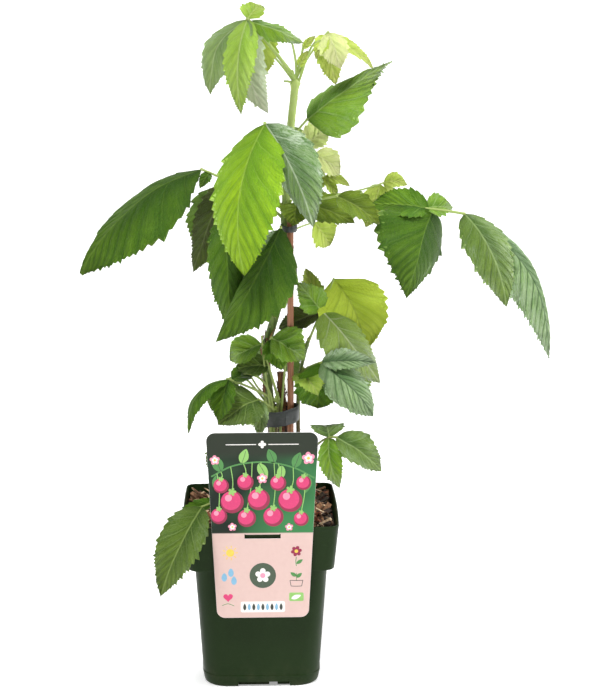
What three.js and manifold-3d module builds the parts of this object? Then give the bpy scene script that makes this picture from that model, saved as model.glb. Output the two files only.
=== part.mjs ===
// Raspberry cane in a 13 cm square nursery pot.
// Units are millimetres, +Z is up, -Y is the front with the plant label.
// The origin is the centre of the pot's underside, on the plane the pot stands on.
import * as THREE from "three";
import { mergeVertices } from "three/addons/utils/BufferGeometryUtils.js";
import { ParametricGeometry } from "three/addons/geometries/ParametricGeometry.js";
import Module from "manifold-3d";

const wasm = await Module();
wasm.setup();

// ---------------------------------------------------------------- driving dimensions

const GAP = 0.3;                  // clearance between pieces that touch
const CUT_CLEARANCE = 0.36;       // growth of a faceted limb used as a cutter, which keeps GAP
const LEAF_CLEARANCE = 0.9;        // the same around a leaf that another one passes
const EDGE_GROWTH = 2;            // and it reaches this many times further at a blade's edge
const END_GROWTH = 3;             // and this many times further past its foot and tip

// pot
const POT_HEIGHT = 147;
const RIM_HALF = 65;              // half of the 130 mm square rim
const COLLAR_HEIGHT = 39;         // the wider band under the rim
const COLLAR_FOOT_HALF = 61.5;
const BODY_TOP_HALF = 56;
const FOOT_HALF = 49.3;
const POT_WALL = 1.5;
const FLOOR_UNDER = 5;            // the floor plate is raised over the foot ring
const FLOOR_THICK = 2;
const FOOT_RING_WIDTH = 3;
const SIDE_BOW = 1.2;             // how far the soft sides bulge between the corners
const NOTCH_WIDTH = 44;           // drainage notch in the middle of each foot side
const NOTCH_HEIGHT = 4.5;
const PAD_GAP_AT = 10;            // the gap between the two floor pads behind a notch
const PAD_GAP_WIDTH = 7;
const DRAIN_RADIUS = 4;
const DRAIN_OFFSET = 27;

// mulch
const SOIL_TOP = 139;             // ground level
const SOIL_EDGE_DROP = 2.5;

// label
const LABEL_TOP_Z = 229;
const LABEL_BOTTOM_Z = 69;
const LABEL_TOP_WIDTH = 92;
const LABEL_BOTTOM_WIDTH = 77;
const LABEL_CORNER = 7;
const LABEL_THICK = 0.9;
const LABEL_X = 1;
const LABEL_Y = -(RIM_HALF + SIDE_BOW + GAP);   // the label's back face
const TONGUE_WIDTH = 28;
const TONGUE_Z = 142;
const TONGUE_REACH = 7;

// stake and ties
const STAKE_X = 26;
const STAKE_Y = -4;
const STAKE_TOP = 398;
const STAKE_RADIUS = 2.7;
const STAKE_NODE_RADIUS = 3.1;
const STAKE_NODES = [0.22, 0.6, 0.9];
const TIE_THICK = 1;

// leaves
const BLADE_THICK = 1.5;          // at the midrib, falling to nothing at the margin
const BLADE_STACKS = 6;
const SMALL_EDGE = 0.6;           // joins leave no edges shorter than this
const CUT_EDGE = 0.3;             // and cuts no edges shorter than this
const PETIOLE_SIDES = 4;
const PETIOLE_STACKS = 5;
const CANE_SIDES = 8;
const CANE_STEP = 24;             // length of one cane segment

const COLOURS = {
  pot: 0x2f4428, soil: 0x5a3d2b, label: 0xe6c9c1, stake: 0xa9745c, tie: 0x55585a,
  greenCane: 0x7f9a4e, woodyCane: 0x6f4a35,
  dark: 0x3d6124, mid: 0x6b9a35, bright: 0x93c32f, lime: 0xc4dc6e, pale: 0x7fa668, olive: 0x76853a,
};

const radians = THREE.MathUtils.degToRad;
const root = new THREE.Group();

// ---------------------------------------------------------------- solids

/** A closed three.js geometry from a parametric skin: seams welded, flat triangles dropped. */
function closed(geometry) {
  geometry.deleteAttribute("normal");
  geometry.deleteAttribute("uv");
  const merged = mergeVertices(geometry, 1e-3);
  const index = merged.getIndex().array;
  const kept = [];
  for (let i = 0; i < index.length; i += 3) {
    const [a, b, c] = [index[i], index[i + 1], index[i + 2]];
    if (a !== b && b !== c && c !== a) kept.push(a, b, c);
  }
  merged.setIndex(kept);
  return merged;
}

/** The manifold solid of a closed geometry, turned right side out if needed. */
function solid(geometry) {
  const mesh = closed(geometry);
  const triangles = Uint32Array.from(mesh.getIndex().array);
  const vertices = Float32Array.from(mesh.getAttribute("position").array);
  if (signedVolume(vertices, triangles) < 0) {
    for (let i = 0; i < triangles.length; i += 3) {
      [triangles[i + 1], triangles[i + 2]] = [triangles[i + 2], triangles[i + 1]];
    }
  }
  return new wasm.Manifold(new wasm.Mesh({ numProp: 3, vertProperties: vertices, triVerts: triangles }));
}

function signedVolume(vertices, triangles) {
  const [a, b, c] = [new THREE.Vector3(), new THREE.Vector3(), new THREE.Vector3()];
  let total = 0;
  for (let i = 0; i < triangles.length; i += 3) {
    a.fromArray(vertices, 3 * triangles[i]);
    b.fromArray(vertices, 3 * triangles[i + 1]);
    c.fromArray(vertices, 3 * triangles[i + 2]);
    total += a.dot(b.cross(c)) / 6;
  }
  return total;
}

/** Adds one sub-part to the model from its manifold solid. */
function addPart(name, body, colour, roughness = 0.6) {
  const { vertProperties, triVerts } = body.getMesh();
  const geometry = new THREE.BufferGeometry();
  geometry.setAttribute("position", new THREE.BufferAttribute(Float32Array.from(vertProperties), 3));
  geometry.setIndex(Array.from(triVerts));
  geometry.computeVertexNormals();
  const material = new THREE.MeshStandardMaterial({ color: colour, roughness, metalness: 0 });
  const mesh = new THREE.Mesh(geometry, material);
  mesh.name = name;
  root.add(mesh);
}

function boxAt(width, depth, height, x, y, z) {
  const box = new THREE.BoxGeometry(width, depth, height);
  box.translate(x, y, z);
  return solid(box);
}

/** A skin lofted through rings: ringPoint(ring, around) gives a point, and the two ends are closed. */
function loft(ringCount, around, ringPoint) {
  const stacks = ringCount + 1;
  const skin = (u, v, target) => {
    const ring = THREE.MathUtils.clamp(Math.round(v * stacks) - 1, 0, ringCount - 1);
    const step = Math.round(u * around) % around;
    const isEnd = v < 0.5 / stacks || v > 1 - 0.5 / stacks;
    if (!isEnd) {
      target.copy(ringPoint(ring, step));
      return;
    }
    target.set(0, 0, 0);
    for (let i = 0; i < around; i++) target.add(ringPoint(ring, i));
    target.divideScalar(around);
  };
  return solid(new ParametricGeometry(skin, around, stacks));
}

// ---------------------------------------------------------------- pot, mulch

const CORNER_STEPS = 3;
const SIDE_STEPS = 2;
const OUTLINE_STEPS = 4 * (CORNER_STEPS + SIDE_STEPS);

/** Point number step on a rounded square whose sides bow outwards. */
function squarePoint(step, half, corner, bow, z) {
  const perSide = CORNER_STEPS + SIDE_STEPS;
  const side = Math.floor(step / perSide);
  const along = step % perSide;
  const straight = half - corner;
  const point = new THREE.Vector3();
  if (along < SIDE_STEPS) {
    const y = -straight + (2 * straight * along) / SIDE_STEPS;
    point.set(half + bow * (1 - (y / straight) ** 2), y, z);
  } else {
    const angle = (Math.PI / 2) * ((along - SIDE_STEPS) / CORNER_STEPS);
    point.set(straight + corner * Math.cos(angle), straight + corner * Math.sin(angle), z);
  }
  return point.applyAxisAngle(new THREE.Vector3(0, 0, 1), (side * Math.PI) / 2);
}

/** Half width of the pot's body at a height under the collar. */
function bodyHalf(z) {
  return THREE.MathUtils.lerp(FOOT_HALF, BODY_TOP_HALF, z / (POT_HEIGHT - COLLAR_HEIGHT));
}

const collarFoot = POT_HEIGHT - COLLAR_HEIGHT;
const floorTop = FLOOR_UNDER + FLOOR_THICK;
const rimInner = RIM_HALF - POT_WALL;

function makePot() {
  const bow = SIDE_BOW;
  // [height, half width, corner radius, bow] from under the floor, out, up, over the rim and down inside
  const profile = [
    [FLOOR_UNDER, FOOT_HALF - FOOT_RING_WIDTH, 17, 0],
    [0, FOOT_HALF - FOOT_RING_WIDTH + 0.6, 17.5, 0],
    [0, FOOT_HALF - 1.4, 19, 0.2],
    [1.6, FOOT_HALF - 0.3, 20, 0.4],
    [10, bodyHalf(10) + 0.5, 20, 0.5],
    [12, bodyHalf(12), 19, 0.5],
    [collarFoot - 1, BODY_TOP_HALF, 13, bow],
    [collarFoot, COLLAR_FOOT_HALF - 0.6, 10, bow],
    [collarFoot + 1.5, COLLAR_FOOT_HALF, 9.5, bow],
    [POT_HEIGHT - 1, RIM_HALF, 8, bow],
    [POT_HEIGHT, RIM_HALF - 0.5, 7.6, bow],
    [POT_HEIGHT, rimInner, 7, bow],
    [collarFoot + 1, COLLAR_FOOT_HALF - POT_WALL, 8.5, bow],
    [collarFoot - 1, BODY_TOP_HALF - POT_WALL, 11.5, bow],
    [floorTop, bodyHalf(floorTop) - POT_WALL, 18, 0.5],
  ];
  const shell = loft(profile.length, OUTLINE_STEPS, (ring, step) => {
    const [z, half, corner, bulge] = profile[ring];
    return squarePoint(step, half, corner, bulge, z);
  });
  let pot = shell;
  for (let side = 0; side < 4; side++) {
    const turn = 90 * side;
    const notch = boxAt(NOTCH_WIDTH, 2 * FOOT_RING_WIDTH + 4, 2 * NOTCH_HEIGHT, 2, -FOOT_HALF, 0);
    pot = pot.subtract(notch.rotate([0, 0, turn]));
    const padDepth = 5;
    const padY = -(FOOT_HALF - FOOT_RING_WIDTH - 4);
    const padHeight = FLOOR_UNDER + 1;
    const leftEnd = PAD_GAP_AT - PAD_GAP_WIDTH / 2;
    const rightStart = PAD_GAP_AT + PAD_GAP_WIDTH / 2;
    const padRight = 24;
    const padLeft = -20;
    const left = boxAt(leftEnd - padLeft, padDepth, padHeight, (padLeft + leftEnd) / 2, padY, padHeight / 2);
    const right = boxAt(padRight - rightStart, padDepth, padHeight,
      (rightStart + padRight) / 2, padY, padHeight / 2);
    pot = pot.add(left.rotate([0, 0, turn])).add(right.rotate([0, 0, turn]));
  }
  const centrePad = new THREE.CylinderGeometry(9, 9, FLOOR_UNDER + 1, 12);
  centrePad.rotateX(Math.PI / 2).translate(0, 0, (FLOOR_UNDER + 1) / 2);
  pot = pot.add(solid(centrePad));
  for (const [sx, sy] of [[1, 1], [1, -1], [-1, 1], [-1, -1]]) {
    const drain = new THREE.CylinderGeometry(DRAIN_RADIUS, DRAIN_RADIUS, 20, 8);
    drain.rotateX(Math.PI / 2).translate(sx * DRAIN_OFFSET, sy * DRAIN_OFFSET, FLOOR_UNDER);
    pot = pot.subtract(solid(drain));
  }
  const slit = boxAt(TONGUE_WIDTH + 2 * GAP, 4 * POT_WALL, LABEL_THICK + 2 * GAP,
    LABEL_X, -RIM_HALF, TONGUE_Z);
  return pot.subtract(slit);
}

/** Half width of the space inside the pot at a height. */
function innerHalf(z) {
  if (z >= collarFoot + 1) {
    const t = (z - collarFoot - 1) / (POT_HEIGHT - collarFoot - 1);
    return THREE.MathUtils.lerp(COLLAR_FOOT_HALF - POT_WALL, rimInner, t);
  }
  return bodyHalf(z) - POT_WALL;
}

function makeSoil() {
  const clear = GAP + 0.15;
  const edgeZ = SOIL_TOP - SOIL_EDGE_DROP;
  // [height, half width, corner radius, bow]
  const profile = [
    [floorTop + GAP, innerHalf(floorTop) - clear, 18, 0.4],
    [collarFoot - 1 + clear, BODY_TOP_HALF - POT_WALL - clear, 11.5, SIDE_BOW - 0.1],
    [collarFoot + 1 + clear, COLLAR_FOOT_HALF - POT_WALL - clear, 8.5, SIDE_BOW - 0.1],
    [edgeZ, innerHalf(edgeZ) - clear, 7.2, SIDE_BOW - 0.1],
    [SOIL_TOP, innerHalf(edgeZ) - 9, 6, 0],
  ];
  return loft(profile.length, OUTLINE_STEPS, (ring, step) => {
    const [z, half, corner, bulge] = profile[ring];
    return squarePoint(step, half, corner, bulge, z);
  });
}

// ---------------------------------------------------------------- limbs

const BASE_Z = SOIL_TOP + GAP;

/** Canes by name: their path above ground level, and radius at the foot and at the tip. */
const CANES = {
  main_cane: {
    path: [[13, 4, BASE_Z], [10, 4, 222], [6, 6, 262], [6, 8, 285], [11, 8, 303], [20, 6, 338],
      [22, 5, 377], [23, 5, 411], [25, 4, 453], [28, 2, 486], [31, 0, 514]],
    foot: 4.2, tip: 3.1, flare: 1.4, colour: COLOURS.greenCane,
  },
  old_cane_stub: {
    path: [[22, 13, BASE_Z], [20, 11, 200], [18, 9, 262]],
    foot: 3.6, tip: 2.8, flare: 1.2, colour: COLOURS.woodyCane,
  },
  left_shoot: {
    path: [[3, -9, BASE_Z], [12, -10, 200], [16, -9, 243]],
    foot: 2, tip: 1.6, flare: 0.8, colour: COLOURS.greenCane,
  },
  right_shoot: {
    path: [[36, 10, BASE_Z], [33, 8, 208], [33, 6.5, 242], [34.5, 5, 262], [41, 4, 290]],
    foot: 2.1, tip: 1.5, flare: 0.8, colour: COLOURS.greenCane,
  },
};

/** The smooth centre line of a cane. */
function caneCurve(cane) {
  return new THREE.CatmullRomCurve3(cane.path.map((p) => new THREE.Vector3(...p)), false, "centripetal");
}

/** Radius of a cane at a fraction of its length: a straight taper and a short flare at the foot. */
function caneRadius(cane, t) {
  return THREE.MathUtils.lerp(cane.foot, cane.tip, t) + cane.flare * Math.exp(-t * 25);
}

/** A limb of level rings, which leaves a flat cut at its foot. */
function makeCane(cane, grow = 0) {
  const curve = caneCurve(cane);
  const rings = Math.max(4, Math.round(curve.getLength() / CANE_STEP));
  return loft(rings + 1, CANE_SIDES, (ring, step) => {
    const t = ring / rings;
    const angle = (2 * Math.PI * step) / CANE_SIDES;
    const radius = caneRadius(cane, t) + grow;
    const stretch = ring === 0 ? -grow : ring === rings ? grow : 0;
    const offset = new THREE.Vector3(radius * Math.cos(angle), radius * Math.sin(angle), stretch);
    return curve.getPointAt(t).add(offset);
  });
}

/** The point on a cane's centre line at a height. */
function pointOnCane(cane, height) {
  const curve = caneCurve(cane);
  let [low, high] = [0, 1];
  for (let i = 0; i < 24; i++) {
    const middle = (low + high) / 2;
    if (curve.getPointAt(middle).z < height) low = middle;
    else high = middle;
  }
  return curve.getPointAt(low);
}

function makeStake(grow = 0) {
  const length = STAKE_TOP - BASE_Z;
  const heights = [0];
  for (const node of STAKE_NODES) heights.push(node - 0.008, node, node + 0.008);
  heights.push(1);
  return loft(heights.length, 8, (ring, step) => {
    const t = heights[ring];
    const isNode = STAKE_NODES.includes(t);
    const radius = (isNode ? STAKE_NODE_RADIUS : STAKE_RADIUS) + grow;
    const angle = (2 * Math.PI * step) / 8;
    const z = BASE_Z + t * length + (t === 0 ? -grow : t === 1 ? grow : 0);
    return new THREE.Vector3(STAKE_X + radius * Math.cos(angle), STAKE_Y + radius * Math.sin(angle), z);
  });
}

/** A flat band round the stake and the canes that pass inside it. */
function makeTie(tie, cutters) {
  const stepCount = 20;
  const band = (grow, overhang) => loft(2, stepCount, (ring, step) => {
    const angle = (2 * Math.PI * step) / stepCount;
    const lean = tie.lean * Math.cos(angle);
    const z = tie.z + lean + (ring === 0 ? -1 : 1) * (tie.high / 2 + overhang);
    const x = tie.x + (tie.wide / 2 + grow) * Math.cos(angle);
    return new THREE.Vector3(x, tie.y + (tie.deep / 2 + grow) * Math.sin(angle), z);
  });
  let ring = band(TIE_THICK, 0).subtract(band(0, 1));
  for (const cutter of cutters) ring = ring.subtract(cutter);
  return ring;
}

const TIES = [
  { name: "tie_low", x: 17, y: -2, z: 225, wide: 30, deep: 28, high: 15, lean: 3 },
  { name: "tie_middle", x: 24, y: 1, z: 348, wide: 13, deep: 21, high: 12, lean: 0 },
  { name: "tie_top", x: 24.6, y: 0.5, z: 388, wide: 12, deep: 21, high: 5, lean: 0 },
];

// ---------------------------------------------------------------- leaves

/** Direction of a compass heading (0 = +X, 90 = +Y) and a drop below level, in degrees. */
function direction(heading, drop) {
  const level = Math.cos(radians(drop));
  return new THREE.Vector3(
    level * Math.cos(radians(heading)), level * Math.sin(radians(heading)), -Math.sin(radians(drop)));
}

/** Half width of a leaflet at a fraction of its length, 1 at the widest. */
function ovate(t, broad, point) {
  const widest = broad / (broad + point);
  return (t / widest) ** broad * ((1 - t) / (1 - widest)) ** point;
}

/** Sideways and upward shares of a half blade that bends more the further out it is. */
function halfSection(bend) {
  if (Math.abs(bend) < 0.02) return [1, bend];
  return [
    (Math.sin(1.5 * bend) - Math.sin(0.5 * bend)) / bend,
    (Math.cos(0.5 * bend) - Math.cos(1.5 * bend)) / bend,
  ];
}

/** One leaflet as a thin blade, from its foot along its chord, that grows by a clearance all over. */
function makeBlade(base, row, clearance = 0) {
  const { long, wide, sweep, arch, broad, point } = row;
  const chord = direction(row.heading, row.drop);
  const normal = new THREE.Vector3(Math.cos(radians(row.facing)), Math.sin(radians(row.facing)), row.lift);
  normal.addScaledVector(chord, -normal.dot(chord)).normalize();
  const side = new THREE.Vector3().crossVectors(chord, normal);
  const folds = Array.isArray(row.fold) ? row.fold : [row.fold, row.fold];
  const halves = folds.map((fold) => halfSection(radians(fold)));
  const skin = (u, t, target) => {
    const across = Math.round(Math.cos(2 * Math.PI * u));
    const over = Math.round(Math.sin(2 * Math.PI * u));
    const grown = t > 0 && t < 1 ? clearance : 0;
    const half = (wide / 2) * ovate(t, broad, point);
    const [outward, upward] = halves[across > 0 ? 0 : 1];
    const bulge = 4 * t * (1 - t);
    const thick = over * ((BLADE_THICK / 2) * Math.sqrt(Math.max(0, bulge)) + grown);
    target.copy(base).addScaledVector(chord, long * t + clearance * END_GROWTH * (2 * t - 1));
    target.addScaledVector(side, (half * outward + grown * EDGE_GROWTH) * across + sweep * long * bulge);
    target.addScaledVector(normal, arch * long * bulge + half * Math.abs(across) * upward + thick);
  };
  return solid(new ParametricGeometry(skin, 4, BLADE_STACKS));
}

/** The curve of a leaf stalk from the cane to the leaf's end node. */
function stalkCurve(leaf) {
  const start = pointOnCane(CANES[leaf.cane], leaf.height);
  const along = direction(leaf.heading, -leaf.rise);
  const end = start.clone().addScaledVector(along, leaf.reach);
  const middle = start.clone().add(end).multiplyScalar(0.5);
  middle.z += (leaf.bow ?? 0.1) * leaf.reach;
  return new THREE.QuadraticBezierCurve3(start, middle, end);
}

function makeStalk(leaf, curve, clearance = 0) {
  const side = new THREE.Vector3(-Math.sin(radians(leaf.heading)), Math.cos(radians(leaf.heading)), 0);
  const footRadius = leaf.thick ?? 1.3;
  return loft(PETIOLE_STACKS, PETIOLE_SIDES, (ring, step) => {
    const t = ring / (PETIOLE_STACKS - 1);
    const radius = footRadius * (1 - 0.3 * t) + clearance;
    const angle = (2 * Math.PI * step) / PETIOLE_SIDES;
    const up = new THREE.Vector3().crossVectors(curve.getTangentAt(t), side).normalize();
    return curve.getPointAt(t)
      .addScaledVector(side, radius * Math.cos(angle))
      .addScaledVector(up, radius * Math.sin(angle));
  });
}

/** A compound leaf: its stalk and its leaflets in one solid, cut clear of what stands in its way. */
function makeLeaf(leaf, cutters) {
  const curve = stalkCurve(leaf);
  let body = makeStalk(leaf, curve);
  for (const row of leaf.blades) {
    const at = Math.min(row.at, 1 - 1 / leaf.reach);
    body = body.add(makeBlade(curve.getPointAt(at), row));
  }
  body = body.simplify(SMALL_EDGE);
  for (const cutter of cutters) body = body.subtract(cutter);
  return largest(body.simplify(CUT_EDGE));
}

/** The room that a leaf's pieces take up, with a clearance around them. */
function leafCutters(leaf) {
  const curve = stalkCurve(leaf);
  const blades = leaf.blades.map((row) => {
    const at = Math.min(row.at, 1 - 1 / leaf.reach);
    return makeBlade(curve.getPointAt(at), row, LEAF_CLEARANCE);
  });
  return [makeStalk(leaf, curve, LEAF_CLEARANCE), ...blades];
}

/** The largest of the separate pieces of a solid. */
function largest(body) {
  const pieces = body.decompose();
  return pieces.reduce((a, b) => (a.volume() > b.volume() ? a : b));
}

const USUAL_BLADE = { lift: 0.5, fold: 14, sweep: 0, arch: 0.09, broad: 0.62, point: 0.95 };

/** One row of a leaf's blades, with the more unusual values given by name. */
function blade(at, heading, drop, long, wide, facing, unusual = {}) {
  return { at, heading, drop, long, wide, facing, ...USUAL_BLADE, ...unusual };
}

// Every leaf names the cane that bears it, the height of its foot on that cane, and the heading,
// rise and reach of its stalk, which bow lifts between its ends. A blade has its place along the
// stalk, the heading, drop, length and width of its own, and the compass heading its upper side
// faces; lift turns that side upwards, fold bends both halves up, or each by its own angle, sweep
// bends the midrib sideways, and broad and point shape its foot and its tip.
// Headings and facings are compass degrees: 0 right, 90 back, 180 left, -90 front.
const LEAVES = [
  // the crown's head
  { name: "leaf_top", cane: "main_cane", height: 511, heading: -149, rise: 47.5, reach: 69, thick: 1.9,
    tint: "pale", bow: 0.04,
    blades: [
      blade(1, -154, 60, 68, 44, -135, { fold: -15, sweep: 0.09, arch: 0.14 }),
      blade(1, -107, 76, 78, 30, -100, { fold: -25, sweep: 0.03, arch: 0.23, point: 1.1 }),
      blade(1, -30, 76, 77, 34, -95, { fold: -20, sweep: 0.12 }),
      blade(0.82, 75, 58, 47, 30, -100, { arch: -0.12 }),
      blade(0.95, -21, 20, 49, 20, -85, { fold: -35, lift: 0.6, arch: 0.06 }),
      blade(1, 50, -32, 20, 23, -90, { lift: 2 }),
    ] },
  { name: "leaf_tip_right", cane: "main_cane", height: 512, heading: 25, rise: 51, reach: 48, thick: 1.1,
    tint: "lime", bow: 0.12,
    blades: [
      blade(1, -50, 62, 33, 26, -85, { fold: -8, lift: 0.9 }),
      blade(0.88, 0, 76, 41, 21, -95, { fold: -14 }),
      blade(0.86, 30, 29, 58, 16, -80, { lift: 1 }),
      blade(0.92, -134, 59, 23, 13, -90),
    ] },
  { name: "leaf_tip_bud", cane: "main_cane", height: 508, heading: -30, rise: 76, reach: 30, thick: 1.3,
    tint: "lime", bow: 0,
    blades: [
      blade(1, -10, -45, 15, 7, -90),
      blade(0.45, -20, -60, 16, 8, -90),
    ] },
  { name: "leaf_upper_right", cane: "main_cane", height: 461, heading: 30, rise: 43, reach: 24,
    tint: "mid", bow: 0,
    blades: [
      blade(1, 4, -34, 86, 62, -75, { lift: 1, fold: [-15, -42], arch: 0.05, point: 1.9 }),
    ] },
  { name: "leaf_pale_back", cane: "main_cane", height: 448, heading: 50, rise: -25, reach: 56, thick: 1.1,
    tint: "lime", bow: 0.6,
    blades: [
      blade(0.35, 30, -30, 27, 24, -80),
      blade(0.6, 35, 33, 34, 25, -75),
      blade(1, -170, 55, 16, 9, -80),
      blade(1, 0, 62, 22, 10, -80),
      blade(1, 15, 22, 24, 11, -80, { lift: 0.9 }),
    ] },
  // the upper whorl
  { name: "leaf_front_pair", cane: "main_cane", height: 436, heading: -114, rise: 42, reach: 65, thick: 1.6,
    tint: "bright", bow: 0.08,
    blades: [
      blade(0.98, -121, 74, 124, 66, -96, { fold: [-40, -12], sweep: 0.09, broad: 0.7, point: 0.9 }),
      blade(1, -24, 63, 92, 56, -95, { fold: [-65, -24], sweep: -0.04 }),
    ] },
  { name: "leaf_mid_right", cane: "main_cane", height: 406, heading: -35, rise: 13, reach: 52,
    tint: "olive", bow: 0,
    blades: [
      blade(0.25, -15, 18, 50, 30, -85, { lift: 0.8 }),
      blade(1, -15, 31, 42, 26, -85, { lift: 0.8 }),
      blade(0.2, -110, 60, 20, 26, -85),
    ] },
  { name: "leaf_lime_hanging", cane: "main_cane", height: 381, heading: 59, rise: 4, reach: 52, thick: 1,
    tint: "lime", bow: 0.06,
    blades: [
      blade(1, 38, 52, 28, 28, -80),
    ] },
  { name: "leaf_thin_stalk", cane: "main_cane", height: 416, heading: 38, rise: 0, reach: 110, thick: 1.1,
    tint: "lime", bow: -0.1,
    blades: [
      blade(1, 10, 6, 22, 17, -85, { lift: 1, arch: 0.18 }),
      blade(0.96, -150, 68, 40, 25, -80),
      blade(1, 59, 37, 20, 14, -70),
    ] },
  { name: "leaf_far_right", cane: "main_cane", height: 396, heading: -8, rise: 2, reach: 150, thick: 1.7,
    tint: "dark", bow: 0.1,
    blades: [
      blade(0.82, -128, 61, 79, 84, -72, { fold: [-10, -50], sweep: 0.04, broad: 0.5, point: 1.15 }),
      blade(0.78, 15, 0, 24, 24, -80, { lift: 1 }),
      blade(0.8, 175, -3, 50, 30, -80, { lift: 0.8 }),
      blade(1, -40, 60, 85, 40, -80, { fold: [-35, -15], sweep: -0.06 }),
      blade(1, 5, 59, 146, 52, -70, { fold: [-40, -50], sweep: -0.12 }),
    ] },
  { name: "leaf_far_left", cane: "main_cane", height: 402, heading: -169, rise: 27, reach: 81, thick: 1.4,
    tint: "dark", bow: 0.03,
    blades: [
      blade(1, -172, 40, 132, 78, -100, { fold: [-46, -8], lift: 1, sweep: 0.07, broad: 1.0, point: 1.15 }),
      blade(0.9, -132, 45, 17, 10, -90),
      blade(0.68, 165, 68, 84, 36, -110, { fold: -12, arch: 0.04 }),
    ] },
  { name: "leaf_left_dark", cane: "main_cane", height: 362, heading: -160, rise: 39, reach: 69,
    tint: "dark", bow: 0.04,
    blades: [
      blade(1, -60, 85, 104, 42, -95, { fold: [-35, -48] }),
    ] },
  { name: "leaf_left_drooping", cane: "main_cane", height: 352, heading: -98, rise: 57, reach: 48,
    tint: "dark", bow: 0,
    blades: [
      blade(1, -152, 56, 109, 68, -95, { fold: [-65, -22], sweep: -0.04, broad: 0.8, point: 1.05 }),
      blade(0.9, -170, 52, 44, 18, -80),
    ] },
  // the right shoot's leaves
  { name: "leaf_right_large", cane: "right_shoot", height: 286, heading: 12, rise: 67.5, reach: 62, thick: 1.2,
    tint: "lime", bow: -0.02,
    blades: [
      blade(1, 52, 58, 84, 62, -86, { sweep: -0.06, fold: [0, 30], broad: 0.4 }),
      blade(0.53, 7, 52, 83, 45, -80, { lift: 0.3, fold: [-8, -36] }),
      blade(0.52, 125, -57, 40, 18, -100),
      blade(0.52, -158, -50, 34, 26, -100),
      blade(0.5, 157, 25, 42, 22, -100, { lift: 0.5 }),
    ] },
  { name: "leaf_right_quilted", cane: "right_shoot", height: 262, heading: -29, rise: 29, reach: 24,
    tint: "pale", bow: 0.1,
    blades: [
      blade(1, -38, 36, 66, 45, -75, { lift: 1, fold: [-62, -18] }),
      blade(0.95, 100, 68, 48, 44, -85),
      blade(0.05, -60, 28, 31, 29, -80, { lift: 1 }),
      blade(1, -8, -1, 46, 21, -75, { lift: 0.8 }),
    ] },
  // the left shoot's leaves
  { name: "leaf_low_left_pair", cane: "left_shoot", height: 240, heading: -152, rise: 28, reach: 56,
    tint: "dark", bow: 0.06,
    blades: [
      blade(1, -150, 48, 56, 20, -145, { fold: -30, arch: 0.28 }),
      blade(1, -120, 66, 37, 22, -100),
      blade(0.9, 50, -4, 25, 18, -90, { lift: 1 }),
    ] },
  { name: "leaf_low_left_pale", cane: "left_shoot", height: 231, heading: -134, rise: 34, reach: 29,
    tint: "pale", bow: 0.05,
    blades: [
      blade(1, -153, 23, 42, 46, -90, { lift: 1 }),
      blade(0.8, -120, 78, 30, 14, -90),
    ] },
  { name: "leaf_low_olive", cane: "left_shoot", height: 242, heading: -150, rise: 72, reach: 54,
    tint: "olive", bow: 0,
    blades: [
      blade(1, 159, 30, 33, 29, -95, { lift: 1, fold: [42, 14] }),
      blade(0.6, -172, 3, 29, 24, -90, { lift: 1 }),
    ] },
  { name: "leaf_low_centre", cane: "main_cane", height: 284, heading: -80, rise: 30, reach: 26,
    tint: "mid", bow: 0,
    blades: [
      blade(1, -8, 32, 34, 36, -90, { lift: 1 }),
      blade(0.9, -40, 66, 28, 24, -80),
    ] },
  { name: "leaf_low_right", cane: "right_shoot", height: 175, heading: -48, rise: 40, reach: 59,
    tint: "mid", bow: 0.3,
    blades: [
      blade(0.85, 94, -8, 26, 30, -90, { lift: 1.3 }),
      blade(0.84, -62, 66, 44, 22, -80, { sweep: 0.1 }),
      blade(1, -11, 36, 48, 33, -75, { lift: 1 }),
    ] },
  { name: "leaf_over_rim", cane: "left_shoot", height: 159, heading: -142, rise: 2, reach: 71, thick: 1.2,
    tint: "mid", bow: 0.1,
    blades: [
      blade(1, -137, 55, 82, 40, -94, { lift: 1, arch: 0.14 }),
      blade(0.75, -175, 25, 46, 14, -110, { lift: 1 }),
    ] },
  // the back of the crown
  { name: "leaf_back_head", cane: "main_cane", height: 508, heading: 146, rise: 43.5, reach: 46, thick: 1.1,
    tint: "pale", bow: 0.06,
    blades: [
      blade(1, 150, 58, 46, 30, 110),
      blade(0.95, 178, 46, 34, 24, 120),
    ] },
  { name: "leaf_back_upper", cane: "main_cane", height: 440, heading: 97, rise: 32, reach: 52, thick: 1.4,
    tint: "mid", bow: 0.08,
    blades: [
      blade(1, 95, 46, 86, 52, 95, { lift: 1 }),
      blade(0.95, 158, 60, 62, 38, 130),
      blade(0.95, 60, 66, 56, 34, 60),
    ] },
  { name: "leaf_back_left", cane: "main_cane", height: 393, heading: 140, rise: 26, reach: 62, thick: 1.3,
    tint: "dark", bow: 0.08,
    blades: [
      blade(1, 128, 58, 88, 52, 120, { lift: 1 }),
      blade(0.95, 178, 66, 62, 36, 150),
      blade(0.95, 80, 64, 60, 34, 80),
    ] },
  { name: "leaf_back_middle", cane: "main_cane", height: 334, heading: 140, rise: 38, reach: 52, thick: 1.3,
    tint: "dark", bow: 0.06,
    blades: [blade(1, 122, 66, 74, 42, 120)] },
  { name: "leaf_back_low_right", cane: "right_shoot", height: 250, heading: 32, rise: 24, reach: 44,
    tint: "mid", bow: 0.08,
    blades: [
      blade(1, 40, 52, 52, 38, 60, { lift: 1 }),
      blade(0.95, 84, 58, 44, 30, 100),
    ] },
  { name: "leaf_back_low_left", cane: "left_shoot", height: 226, heading: 128, rise: 32, reach: 52,
    tint: "mid", bow: 0.08,
    blades: [
      blade(1, 130, 38, 60, 38, 130, { lift: 1 }),
      blade(0.95, 178, 52, 42, 26, 160),
    ] },
  { name: "leaf_back_low", cane: "main_cane", height: 236, heading: 96, rise: 42, reach: 56,
    tint: "dark", bow: 0.08,
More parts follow.
